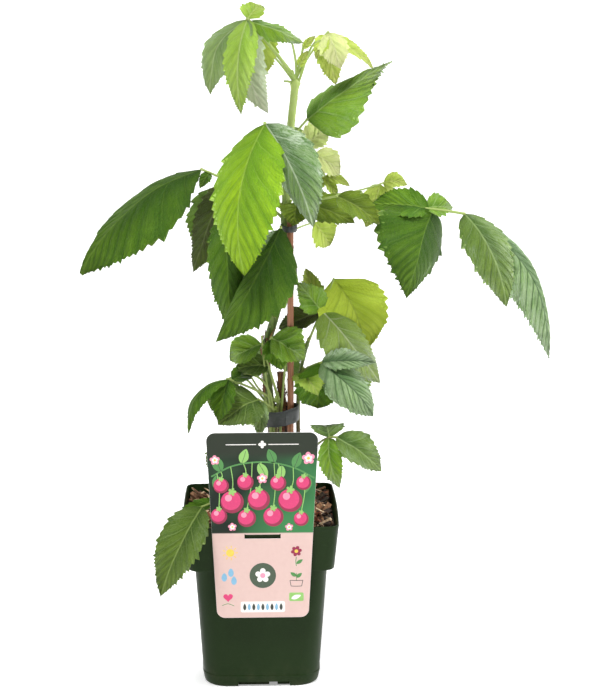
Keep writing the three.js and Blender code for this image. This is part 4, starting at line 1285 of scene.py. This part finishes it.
def build_canes():
    for seed, (name, (rings, around, rough)) in enumerate(CANE_BARK.items()):
        _, foot, tip, flare = CANES[name]
        bm = bmesh.new()
        radius = ridged_radius(foot, tip, flare, nodes_on(name), seed * 17, rough)
        if name == "main_cane":
            radius = tapered_end(radius)
        tube(bm, CANE_LINES[name], radius, rings, around, level=True)
        crease(bm, 55)
        woody = name == "old_cane_stub"
        material = bark_material() if woody else green_cane_material()
        make_piece(name + "_bark", bm, [material], "woody_cane" if woody else "green_cane", name)


def on_cane(name, t, angle, lift=0.0):
    """A point on a cane's skin, and the way out from it."""
    outward = Vector((math.cos(angle), math.sin(angle), 0))
    radius = plain_radius(*CANES[name][1:], t)
    return along(CANE_LINES[name], t) + outward * (radius + lift), outward


def build_prickles():
    """Fine prickles on the green canes and stalks, closest near the tip."""
    rng = random.Random(11)
    bm = bmesh.new()
    counts = {"main_cane": 520, "left_shoot": 90, "right_shoot": 130}
    for name, count in counts.items():
        for _ in range(count):
            t = rng.random() ** 0.8
            place, outward = on_cane(name, t, rng.uniform(0, TURN), -0.15)
            towards = outward + UP * rng.uniform(-0.7, 0.1)
            add_cone(bm, place, towards, rng.uniform(0.8, 2.3), rng.uniform(0.13, 0.27))
    for row in LEAVES:
        line = stalk_line(row)
        for _ in range(int(row.reach * 0.9)):
            t = rng.uniform(0.05, 0.98)
            ahead = heading_along(line, t)
            side = ahead.orthogonal().normalized()
            side.rotate(Matrix.Rotation(rng.uniform(0, NEARLY_A_TURN), 3, ahead))
            place = along(line, t) + side * (stalk_radius(row, t) - 0.1)
            add_cone(bm, place, side, rng.uniform(0.4, 1.0), rng.uniform(0.07, 0.13), 3)
    crease(bm, 60)
    make_piece("prickles", bm, [prickle_material()], "green_cane")


def add_flake(bm, name, start, angle, length, width, peel, up):
    """A strip of bark that curls away from its cane towards one end."""
    line = CANE_LINES[name]
    total = line[-1].z - line[0].z

    def place(ring, step):
        t = ring / 7
        share = max(0.004, min(0.995, start + up * length * t / total))
        side, over = STRIP_CORNERS[step]
        half = width / 2 * (1 - 0.6 * t) * side
        turn = angle + half / 4.2 + 0.25 * t
        return on_cane(name, share, turn, 0.12 + peel * t ** 2.4 + 0.16 * over)[0]

    loft(bm, 8, 4, place)


def build_bark_flakes():
    """Curling strips of old bark on the woody cane and the foot of the main one."""
    rng = random.Random(23)
    bm = bmesh.new()
    for name, low, high, count in (("old_cane_stub", 0.02, 0.98, 120), ("main_cane", 0.0, 0.42, 60)):
        for _ in range(count):
            spans = ((low, high), (0, TURN), (7, 24), (0.9, 2.4), (0.6, 3.6))
            sizes = [rng.uniform(*span) for span in spans]
            add_flake(bm, name, *sizes, rng.choice((-1, 1)))
    crease(bm, 50)
    make_piece("bark_flakes", bm, [bark_material("loose_bark", 1.5)], "woody_cane")


# ------------------------------------------------------------------ stake and ties

def build_stake():
    line = evenly([Vector((STAKE_X, STAKE_Y, GROUND)), Vector((STAKE_X, STAKE_Y, STAKE_TOP))], 300)
    length = STAKE_TOP - GROUND

    def radius(t, angle):
        z = GROUND + t * length
        size = STAKE_RADIUS + 0.03 * math.cos(9 * angle)
        for node in STAKE_NODES:
            size += 0.42 * math.exp(-((z - node) / 1.1) ** 2)
            size -= 0.18 * math.exp(-((z - node - 2.4) / 0.9) ** 2)
        return size + 0.06 * noise.noise(Vector((math.cos(angle), math.sin(angle), z * 0.05)))

    bm = bmesh.new()
    tube(bm, line, radius, 260, 20, level=True)
    crease(bm, 50)
    make_piece("bamboo_stake", bm, [bamboo_material()], "bamboo", "stake")


# x, y, z of the middle, width, depth, height, lean of the band
TIES = {
    "tie_low": (17, -2, 227, 30, 28, 13, 2.5),
    "tie_middle": (24, 1, 348, 13, 21, 12, 0),
    "tie_top": (24.6, 0.5, 388, 12, 21, 5, 0),
}
TAPE_STEPS = 72
TAPE_TURNS = ((0.75, 0, 360), (0.5, -75, 175))      # thickness, and start and sweep in degrees


def add_tape_turn(bm, place, closed):
    """One turn of tape; place(ring, step) goes round its section and along the band."""
    if closed:
        loft(bm, 5, TAPE_STEPS, place, caps=(False, False))
        bmesh.ops.remove_doubles(bm, verts=bm.verts[:], dist=1e-6)
    else:
        loft(bm, TAPE_STEPS + 1, 4, lambda ring, step: place(step, ring))


def build_tie(name, x, y, z, wide, deep, high, lean):
    """Two turns of soft tape; the outer one ends in a free corner at the front right."""
    bm = bmesh.new()
    for turn, (thin, start, sweep) in enumerate(TAPE_TURNS):
        def place(ring, step):
            angle = math.radians(start + sweep * step / TAPE_STEPS)
            out, over = ((0, -1), (1, -1), (1, 1), (0, 1))[ring % 4]
            outer = turn * 0.8 + thin * out
            wave = 0.25 * math.sin(5 * angle + turn) + 0.15 * math.sin(11 * angle)
            tall = (high / 2 - 0.4 * turn) * (1 - 0.08 * turn)
            rise = lean * math.cos(angle) + wave + turn * 1.2 * math.sin(angle)
            return Vector((x + (wide / 2 + outer) * math.cos(angle),
                           y + (deep / 2 + outer) * math.sin(angle), z + rise + over * tall))

        add_tape_turn(bm, place, closed=turn == 0)
    bmesh.ops.recalc_face_normals(bm, faces=bm.faces[:])
    round_edges(bm, sharp_edges(bm), 0.16)
    crease(bm, 45)
    make_piece("band_" + name, bm, [tape_material()], "tie_band", name)


# ------------------------------------------------------------------ pot

CORNER_STEPS = 10
SIDE_STEPS = 6
POT_STEPS = 4 * (CORNER_STEPS + SIDE_STEPS)


def quarter_turn(number):
    return Matrix.Rotation(QUARTER * number, 3, "Z")


def square_point(step, half, corner, bow, z):
    """Point number step on a rounded square whose sides bow outwards."""
    side, place = divmod(step, CORNER_STEPS + SIDE_STEPS)
    straight = half - corner
    if place < SIDE_STEPS:
        y = -straight + 2 * straight * place / SIDE_STEPS
        point = Vector((half + bow * (1 - (y / straight) ** 2), y, z))
    else:
        angle = QUARTER * (place - SIDE_STEPS) / CORNER_STEPS
        point = Vector((straight + corner * math.cos(angle), straight + corner * math.sin(angle), z))
    point.rotate(quarter_turn(side))
    return point


def body_half(z):
    return lerp(FOOT_HALF, BODY_TOP_HALF, z / COLLAR_FOOT)


def on_body(z, corner, bow, out=0.0):
    return z, body_half(z) + out, corner, bow


def on_collar(z, half, corner):
    return z, half, corner, SIDE_BOW


# height, half width, corner radius and bow: under the floor, out, up, over the rim and down inside
POT_PROFILE = [
    (FLOOR_UNDER, 46.3, 17, 0), (0.7, 46.8, 17.3, 0), (0.1, 47.0, 17.5, 0.05), (0, 47.4, 18, 0.1),
    (0.1, 47.9, 19, 0.2), (0.6, 48.5, 19.5, 0.3), (1.6, 49.0, 20, 0.4), (3, FOOT_HALF, 20, 0.4),
    on_body(9.4, 20, 0.5, 0.55), on_body(10, 20, 0.5, 0.5), on_body(10.5, 19.6, 0.5, 0.1),
    on_body(11, 19.4, 0.5), on_body(35, 17.8, 0.8), on_body(60, 16.2, 1.0), on_body(85, 14.6, 1.1),
    on_body(106, 13.2, SIDE_BOW), on_collar(106.9, 56.1, 13), on_collar(107.1, 56.7, 12.6),
    on_collar(107.2, 60.4, 10.4), on_collar(107.4, 61.1, 10), on_collar(107.9, 61.4, 9.7),
    on_collar(109.3, 61.55, 9.5), on_collar(128, 63.3, 8.8), on_collar(144.6, 64.8, 8.1),
    on_collar(145.6, RIM_HALF, 8), on_collar(146.5, 64.95, 7.9), on_collar(146.9, 64.6, 7.7),
    on_collar(POT_HEIGHT, 64.2, 7.4), on_collar(146.9, 63.8, 7.2), on_collar(146.5, 63.5, 7),
    on_collar(128, 61.9, 7.8), on_collar(109, 60.0, 8.5), on_collar(107, 54.5, 11.5),
    on_body(60, 14.8, 1.0, -POT_WALL), (FLOOR_TOP + 1.5, body_half(8) - POT_WALL, 18, 0.5),
    on_body(FLOOR_TOP, 17, 0.4, -POT_WALL - 1.2),
]

NOTCH_SHIFT = 2
CUT_PAST = 5              # how far a cutter stands out past what it cuts
SLOT_HALF = 0.75
PAD_SPANS = ((-20, 6.5), (13.5, 24))


def add_post(bm, x, y, radius, low, high, sides=32):
    """An upright cylinder in mm."""
    matrix = Matrix.Translation(Vector((x, y, (low + high) / 2)) * MM)
    bmesh.ops.create_cone(bm, cap_ends=True, segments=sides, radius1=radius * MM, radius2=radius * MM,
                          depth=(high - low) * MM, matrix=matrix)


def build_pot():
    shell = bmesh.new()
    loft(shell, len(POT_PROFILE), POT_STEPS, lambda ring, step: square_point(
        step, POT_PROFILE[ring][1], POT_PROFILE[ring][2], POT_PROFILE[ring][3], POT_PROFILE[ring][0]))
    cutter = bmesh.new()
    for side in range(4):
        notch = add_box(cutter, (NOTCH_SHIFT - NOTCH_WIDTH / 2, -FOOT_HALF - CUT_PAST, -CUT_PAST),
                        (NOTCH_SHIFT + NOTCH_WIDTH / 2, -FOOT_HALF + CUT_PAST, NOTCH_HEIGHT))
        bmesh.ops.rotate(cutter, verts=notch, matrix=quarter_turn(side))
    for sx in (-1, 1):
        for sy in (-1, 1):
            add_post(cutter, sx * DRAIN_OFFSET, sy * DRAIN_OFFSET, DRAIN_RADIUS, 0, 12)
    half = TONGUE_WIDTH / 2 + GAP
    add_box(cutter, (LABEL_X - half, -RIM_HALF - 3, TONGUE_Z - SLOT_HALF),
            (LABEL_X + half, -RIM_HALF + 3, TONGUE_Z + SLOT_HALF))
    pot = carved(shell, cutter, 32)

    pads = bmesh.new()
    pad_top = FLOOR_UNDER + 0.5
    for side in range(4):
        for left, right in PAD_SPANS:
            pad = add_box(pads, (left, -44.8, 0), (right, -39.8, pad_top))
            bmesh.ops.rotate(pads, verts=pad, matrix=quarter_turn(side))
    add_post(pads, 0, 0, 9, 0, pad_top)
    round_edges(pads, sharp_edges(pads), 0.4)
    crease(pads, 40)
    make_piece("pot_shell", pot, [pot_material()], "pot_plastic", "pot")
    make_piece("pot_floor_pads", pads, [pot_material()], "pot_plastic")


# ------------------------------------------------------------------ mulch

def ground_height(x, y):
    """Height of the uneven mulch in mm."""
    edge = smoothstep(46, 62, max(abs(x), abs(y)))
    lumps = 1.5 * noise.noise(Vector((x, y, 3)) * 0.055) + 0.8 * noise.noise(Vector((x, y, 9)) * 0.16)
    return SOIL_TOP - 1.2 - 2.0 * edge + lumps


def build_mulch_bed():
    """The potting mix, with a lumpy top that rises towards the stems."""
    rings = [(7.5, 47.6, 18), (60, 51.2, 14.5), (106.5, 54.0, 11.2), (109, 59.4, 8.2), (132, 61.6, 7.3)]
    top_rings = 22

    def place(ring, step):
        if ring < len(rings):
            z, half, corner = rings[ring]
            return square_point(step, half, corner, 0.6, z)
        share = 1 - (ring - len(rings)) / top_rings
        point = square_point(step, max(62.2 * share, 0.4), 7.3 * share, 0.6 * share, 0)
        point.z = ground_height(point.x, point.y)
        return point

    bm = bmesh.new()
    loft(bm, len(rings) + top_rings + 1, POT_STEPS, place)
    for face in bm.faces:
        face.smooth = True
    mix = mulch_material("mulch_bed", (0.030, 0.017, 0.010), (0.075, 0.040, 0.022))
    make_piece("mulch_bed", bm, [mix], "bark_mulch", "soil")


# name, count, length, width, thickness, dark and light colour
CHIP_KINDS = (
    ("dark_chips", 360, (7, 19), (3.5, 8), (0.9, 2.6), (0.013, 0.007, 0.004), (0.060, 0.028, 0.015)),
    ("brown_chips", 270, (9, 25), (3, 7.5), (0.9, 2.4), (0.10, 0.042, 0.018), (0.38, 0.190, 0.09)),
    ("red_chips", 170, (7, 19), (2.2, 5.5), (0.7, 1.8), (0.17, 0.050, 0.022), (0.42, 0.150, 0.07)),
    ("straw_chips", 240, (9, 26), (1.2, 3.4), (0.5, 1.1), (0.44, 0.28, 0.15), (0.88, 0.70, 0.48)),
)
CHIP_SPREAD = 60.5       # half the square that the chips fall in
CHIP_LIMIT = 61.5         # the inner face of the rim


def add_chip(bm, rng, long, wide, thick, lift):
    """One splinter: a box with uneven corners, lying on the mulch."""
    x = rng.uniform(-CHIP_SPREAD, CHIP_SPREAD)
    y = rng.uniform(-CHIP_SPREAD, CHIP_SPREAD)
    heading = rng.uniform(0, math.pi)
    reach_x = abs(math.cos(heading)) * long / 2
    reach_y = abs(math.sin(heading)) * long / 2
    x = max(reach_x - CHIP_LIMIT, min(CHIP_LIMIT - reach_x, x))
    y = max(reach_y - CHIP_LIMIT, min(CHIP_LIMIT - reach_y, y))
    tilt = rng.gauss(0, 0.34)
    roll = rng.gauss(0, 0.4)
    z = ground_height(x, y) + thick / 2 + lift + abs(math.sin(tilt)) * long / 3
    matrix = (Matrix.Translation(Vector((x, y, z)) * MM) @ Matrix.Rotation(heading, 4, "Z")
              @ Matrix.Rotation(tilt, 4, "Y") @ Matrix.Rotation(roll, 4, "X")
              @ Matrix.Diagonal((long * MM, wide * MM, thick * MM, 1)))
    corners = bmesh.ops.create_cube(bm, size=1)["verts"]
    for vert in corners:
        vert.co.x *= rng.uniform(0.7, 1.05)
        vert.co.y *= rng.uniform(0.45, 1.1)
        vert.co.z *= rng.uniform(0.5, 1.1)
    bmesh.ops.transform(bm, verts=corners, matrix=matrix)


def build_chips():
    rng = random.Random(41)
    for name, count, long, wide, thick, dark, light in CHIP_KINDS:
        bm = bmesh.new()
        for _ in range(count):
            lift = rng.uniform(-0.6, 3.2)
            add_chip(bm, rng, rng.uniform(*long), rng.uniform(*wide), rng.uniform(*thick), lift)
        round_edges(bm, bm.edges[:], 0.14, 1)
        crease(bm, 30)
        make_piece(name, bm, [mulch_material(name, dark, light)], "bark_mulch")


# ------------------------------------------------------------------ label

PANEL_SPLIT = 143             # height where the dark green panel gives way to the pale one
INK = 0.02                    # how far the lowest printed layer stands proud of the card
INK_STEP = 0.02               # and each further layer over the one below it
INK_ROOT = 0.1                # how far every layer reaches into the card
LABEL_CORNER_STEPS = 8
BAR_CORNER_STEPS = 6


def round_corner(number, share):
    """The sides that one of four corners is on, and the way out at a share of its arc."""
    angle = QUARTER * (number + share)
    right = 1 if number in (0, 3) else -1
    upper = 1 if number in (0, 1) else -1
    return right, upper, math.cos(angle), math.sin(angle)


def label_point(step, inset):
    """A point on the card's outline: four straight sides joined by round corners."""
    number, place = divmod(step, LABEL_CORNER_STEPS)
    right, upper, across, rise = round_corner(number, place / (LABEL_CORNER_STEPS - 1))
    half = (LABEL_TOP_WIDTH if upper > 0 else LABEL_BOTTOM_WIDTH) / 2
    z = LABEL_TOP_Z if upper > 0 else LABEL_BOTTOM_Z
    reach = LABEL_CORNER - inset
    return LABEL_X + right * (half - LABEL_CORNER) + reach * across, z - upper * LABEL_CORNER + reach * rise


def build_card():
    """The card with its slot, and the tongue that hooks into the pot's rim."""
    rings = ((LABEL_BACK, 0.25), (LABEL_BACK - 0.25, 0), (LABEL_FRONT + 0.25, 0), (LABEL_FRONT, 0.25))

    def place(ring, step):
        x, z = label_point(step, rings[ring][1])
        return Vector((x, rings[ring][0], z))

    card, slot, tongue = bmesh.new(), bmesh.new(), bmesh.new()
    loft(card, len(rings), 4 * LABEL_CORNER_STEPS, place)
    half = TONGUE_WIDTH / 2
    add_box(slot, (LABEL_X - half - 1, LABEL_FRONT - 2, TONGUE_Z - 4),
            (LABEL_X + half + 1, LABEL_BACK + 2, TONGUE_Z))
    make_piece("label_board", carved(card, slot, 30), [card_material()], "label_card", "label")

    def fold(ring, step):
        t = ring / 9
        side, over = STRIP_CORNERS[step]
        narrow = half - 2.5 * smoothstep(0.6, 1.0, t)
        sink = 0.5 * math.sin(math.pi * t)
        return Vector((LABEL_X + side * narrow, LABEL_FRONT + 0.1 + (TONGUE_REACH + 0.8) * t,
                       TONGUE_Z - sink + over * LABEL_THICK * 0.4))

    loft(tongue, 10, 4, fold)
    crease(tongue, 40)
    make_piece("label_tongue", tongue, [card_material()], "label_card")


def ink_face(layer, outer):
    """Where the outer or the sunk face of a printed layer lies."""
    return LABEL_FRONT + (-(INK + INK_STEP * layer) if outer else INK_ROOT)


class Ink:
    """Flat printed shapes of one colour, which together make one piece."""

    def __init__(self):
        self.bm = bmesh.new()

    def shape(self, steps, point, layer=0):
        """A filled outline; point(t) gives x and z from the label's middle for t from 0 to 1."""
        def place(ring, step):
            x, z = point(step / steps)
            return Vector((LABEL_X + x, ink_face(layer, ring), z))

        loft(self.bm, 2, steps, place)

    def disc(self, x, z, radius, layer=0, steps=28):
        def point(t):
            return x + radius * math.cos(TURN * t), z + radius * math.sin(TURN * t)
        self.shape(steps, point, layer)

    def petals(self, x, z, radius, count, depth=0.35, turn=0.0, layer=0):
        """A flower or a sun: a disc whose edge swells once for each petal."""
        def point(t):
            angle = TURN * t
            reach = radius * (1 - depth + depth * abs(math.cos(count * (angle - turn) / 2)) ** 0.6)
            return x + reach * math.cos(angle), z + reach * math.sin(angle)
        self.shape(12 * count, point, layer)

    def heart(self, x, z, size, layer=0):
        def point(t):
            angle = TURN * t
            rise = sum(share * math.cos(wave * angle) for wave, share in enumerate((13, -5, -2, -1), 1))
            return x + size * math.sin(angle) ** 3, z + size * rise / 16
        self.shape(48, point, layer)

    def oval(self, x, z, long, wide, heading, layer=0, point_power=0.8):
        """A leaf with a point at both ends, from its foot at x, z."""
        heading = math.radians(heading)
        ahead = (math.cos(heading), math.sin(heading))

        def point(t):
            s = 1 - abs(2 * t - 1)
            side = (1 if t < 0.5 else -1) * wide / 2 * math.sin(math.pi * s ** 0.85) ** point_power
            return (x + ahead[0] * long * s - ahead[1] * side, z + ahead[1] * long * s + ahead[0] * side)
        self.shape(36, point, layer)

    def line(self, points, width, layer=0, rings=24):
        """A stroke that follows a smooth path through points of x and z."""
        path = centripetal([(LABEL_X + x, 0, z) for x, z in points], 60)

        def place(ring, step):
            t = ring / (rings - 1)
            ahead = heading_along(path, t)
            side = Vector((-ahead.z, 0, ahead.x))
            half, out = ((-1, 0), (1, 0), (1, 1), (-1, 1))[step]
            spot = along(path, t) + side * (half * width / 2)
            spot.y = ink_face(layer, out)
            return spot

        loft(self.bm, rings, 4, place)

    def bar(self, x, z, wide, high, layer=0, corner=0.6):
        """A rectangle with round corners, from its middle."""
        def point(t):
            number, place = divmod(t * 4 * BAR_CORNER_STEPS, BAR_CORNER_STEPS)
            right, upper, across, rise = round_corner(number, place / (BAR_CORNER_STEPS - 1))
            return (x + right * (wide / 2 - corner) + corner * across,
                    z + upper * (high / 2 - corner) + corner * rise)
        self.shape(4 * BAR_CORNER_STEPS, point, layer)


# x, z and radius of each berry, and the place on the twig that it hangs from
BERRIES = ((-34, 184, 6.4, 0.10), (34, 186, 6.2, 0.92), (-14, 187, 6.8, 0.32), (13, 186, 6.6, 0.64),
           (-25, 170, 9.6, 0.2), (-3, 172, 9.2, 0.48), (23, 171, 10, 0.78), (-36, 158, 6.8, 0.06),
           (-13, 156, 7.6, 0.4), (9, 157, 8.4, 0.6), (32, 155, 6.2, 0.9))
TWIG = [(-42, 192), (-24, 201), (2, 204), (26, 199), (43, 190)]
SPRIG_LEAVES = ((-34, 196, 15, 9, 112), (-17, 203, 13, 8, 72), (10, 203, 13, 8, 112), (26, 199, 14, 8, 68),
                (-3, 203, 15, 8, -62), (38, 192, 15, 8, -100), (-38, 193, 15, 8, -84), (16, 201, 13, 7, -95))
BLOSSOMS = ((38, 207, 5.4), (-39, 206, 4.2), (0, 190, 4.4), (-25, 148.5, 3.6), (22, 148, 3.4))


def print_upper_panel(inks):
    """A fruiting twig with leaves, blossoms and round berries on the dark green panel."""
    inks["leaf"].line(TWIG, 1.3, 1, 40)
    for number, (x, z, long, wide, heading) in enumerate(SPRIG_LEAVES):
        inks["lime" if number % 3 == 1 else "leaf"].oval(x, z, long, wide, heading, 1)
        turn = math.radians(heading)
        tip = (x + long * 0.85 * math.cos(turn), z + long * 0.85 * math.sin(turn))
        inks["dark"].line([(x, z), ((x + tip[0]) / 2 + 0.3, (z + tip[1]) / 2), tip], 0.4, 2, 8)
    twig = centripetal([(x, 0, z) for x, z in TWIG], 40)
    for x, z, radius, share in BERRIES:
        start = along(twig, share)
        bend = ((start.x + x) / 2 + 1.2, (start.z + z) / 2 + 2)
        inks["lime"].line([(start.x, start.z), bend, (x, z + radius * 0.9)], 0.7, 2, 12)
        inks["crimson"].disc(x, z, radius, 3)
        inks["pink"].disc(x - radius * 0.10, z + radius * 0.12, radius * 0.84, 4)
        inks["rose"].disc(x - radius * 0.32, z + radius * 0.36, radius * 0.30, 5)
        inks["lime"].petals(x, z + radius * 0.92, radius * 0.36, 5, 0.6, layer=5)
    for x, z, radius in BLOSSOMS:
        inks["rose"].petals(x, z, radius, 5, 0.42, 0.4, 4)
        inks["paper"].petals(x, z, radius * 0.62, 5, 0.42, 0.4, 5)
        inks["yellow"].disc(x, z, radius * 0.24, 6, 12)
    inks["paper"].line([(-30, 219), (-16, 219), (-5, 219)], 0.7, 1, 4)
    inks["paper"].line([(5, 219), (16, 219), (30, 219)], 0.7, 1, 4)
    inks["paper"].petals(0, 219, 3.2, 4, 0.6, 0, 1)


def print_lower_panel(inks):
    """Care pictures on the pale panel: sun, flower, drops, potted sprout, heart and a row of leaves."""
    inks["yellow"].disc(-27, 126, 3.4, 1)
    for share in steps(9)[:-1]:
        across, rise = math.cos(TURN * share), math.sin(TURN * share)
        inks["yellow"].line([(-27 + r * across, 126 + r * rise) for r in (4.4, 5.4, 6.4)], 0.8, 1, 3)
    for x, z in ((-32, 104), (-26.5, 108), (-24, 101)):
        inks["blue"].oval(x, z - 3, 7.5, 4.6, 90, 1, 0.6)
    inks["crimson"].petals(28, 127, 4.6, 6, 0.4, 0.2, 1)
    inks["yellow"].disc(28, 127, 1.5, 2, 14)
    inks["leaf"].line([(28, 122), (27.5, 118), (28, 114)], 0.6, 1, 8)
    inks["leaf"].oval(28, 116, 6.5, 3, 35, 1)
    for width, z in ((9, 96.5), (11, 101.5)):
        inks["dark"].line([(28 - width / 2, z), (28, z - 0.2), (28 + width / 2, z)], 0.5, 1, 8)
    for side in (-1, 1):
        wall = [(28 + side * off, z) for off, z in ((5.4, 101.5), (4.9, 99), (4.4, 96.5))]
        inks["dark"].line(wall, 0.5, 1, 6)
    inks["leaf"].line([(28, 101.5), (28.2, 105), (28, 108)], 0.5, 1, 8)
    inks["leaf"].oval(28, 104, 6, 3.2, 40, 1)
    inks["leaf"].oval(28, 105, 6, 3.2, 145, 1)
    inks["green_block"].disc(0, 106, 11, 1, 44)
    inks["paper"].petals(0, 106, 6.4, 5, 0.5, 0.3, 2)
    inks["rose"].disc(0, 106, 2.2, 3, 18)
    inks["pink"].heart(-29, 87, 4, 1)
    inks["leaf"].line([(-34, 80), (-29, 81.5), (-24, 79.5)], 0.5, 1, 10)
    inks["lime"].bar(28, 87, 12, 7.5, 1, 1.2)
    inks["paper"].oval(23.8, 85.5, 8.5, 3.6, 20, 2)
    inks["paper"].bar(0, 78.5, 37, 9.5, 1, 1.5)
    for number in range(9):
        kind = inks["blue"] if number % 2 else inks["dark"]
        kind.oval(-15.2 + number * 3.8, 75.4, 6.2, 2.6, 90, 2)


INKS = {
    "dark": (0.030, 0.036, 0.028), "green_block": (0.045, 0.075, 0.040), "leaf": (0.065, 0.24, 0.055),
    "lime": (0.25, 0.50, 0.12), "pink": (0.62, 0.030, 0.15), "rose": (0.84, 0.28, 0.40),
    "crimson": (0.27, 0.008, 0.050), "paper": (0.86, 0.83, 0.78), "yellow": (0.82, 0.55, 0.07),
    "blue": (0.20, 0.42, 0.60),
}


def build_print():
    inks = {name: Ink() for name in INKS}
    print_upper_panel(inks)
    print_lower_panel(inks)
    for name, colour in INKS.items():
        crease(inks[name].bm, 30)
        make_piece("print_" + name, inks[name].bm, [ink_material(name, colour)], "label_card")


# ------------------------------------------------------------------ stage, camera and light

FLOOR_REACH = 60              # metres, so that the floor fills the view to its top
FLOOR_COLOUR = (0.93, 0.93, 0.93)
SKY_LIGHT = 0.29


def build_stage():
    bm = bmesh.new()
    bmesh.ops.create_grid(bm, x_segments=1, y_segments=1, size=FLOOR_REACH)
    floor = mesh_object("floor", bm)
    material, _, _ = new_material("pale_floor", Base_Color=FLOOR_COLOUR, Roughness=0.9,
                                  Specular_IOR_Level=0.1, Emission_Color=FLOOR_COLOUR,
                                  Emission_Strength=0.35)
    floor.data.materials.append(material)


def aim(light, place, target):
    """Turns a light at a place towards a target."""
    light.location = place
    light.rotation_euler = (Vector(place) - Vector(target)).to_track_quat("Z", "Y").to_euler()


def add_sun(name, place, strength, spread):
    """An even soft light from a direction."""
    lamp = bpy.data.lights.new(name, "SUN")
    lamp.energy = strength
    lamp.angle = math.radians(spread)
    aim(add_object(name, lamp), place, (0, 0, 0))


def add_area(name, place, target, wide, high, power):
    lamp = bpy.data.lights.new(name, "AREA")
    lamp.shape = "RECTANGLE"
    lamp.size = wide
    lamp.size_y = high
    lamp.energy = power
    aim(add_object(name, lamp), place, target)


def build_lights():
    """A high soft key, light through the crown from behind, a panel at the side and a pale sky."""
    add_sun("key", (-0.4, -0.58, 1.3), 2.55, 18)
    add_sun("back_light", (0.35, 0.9, 0.9), 1.2, 30)
    add_area("side_panel", (1.2, -0.15, 1.1), (0.08, 0, 0.35), 0.7, 1.0, 14)
    world = bpy.data.worlds.new("studio")
    world.use_nodes = True
    tree = world.node_tree
    sky = next(node for node in tree.nodes if node.type == "BACKGROUND")
    sky.inputs["Color"].default_value = (1, 1, 1, 1)
    seen = put(tree, "LightPath").outputs["Is Camera Ray"]
    fill(tree, sky.inputs["Strength"], plus(tree, times(tree, seen, 1 - SKY_LIGHT), SKY_LIGHT))
    bpy.context.scene.world = world


CAMERA_YAW = math.radians(1.87)
CAMERA_PITCH = math.radians(12.4)
CAMERA_PLACE = Vector((-17.1, -1571.6, 633.2)) * MM
FOCAL_SHARE = 1900 / 690      # focal length over the height of the frame
SENSOR = 36


def build_camera():
    forward = Vector((math.sin(CAMERA_YAW) * math.cos(CAMERA_PITCH),
                      math.cos(CAMERA_YAW) * math.cos(CAMERA_PITCH), -math.sin(CAMERA_PITCH)))
    data = bpy.data.cameras.new("camera")
    data.sensor_width = SENSOR
    data.lens = SENSOR * FOCAL_SHARE
    data.clip_start = 0.05
    camera = add_object("camera", data)
    camera.location = CAMERA_PLACE
    camera.rotation_euler = (-forward).to_track_quat("Z", "Y").to_euler()
    bpy.context.scene.camera = camera


# ------------------------------------------------------------------ all of it

build_camera()
build_stage()
build_lights()
for number, row in enumerate(LEAVES):
    make_leaf(row, number + 1)
build_stalks()
build_stipules()
build_canes()
build_prickles()
build_bark_flakes()
build_stake()
for name, size in TIES.items():
    build_tie(name, *size)
build_pot()
build_mulch_bed()
build_chips()
build_card()
build_print()

bpy.context.scene.view_settings.view_transform = "Standard"
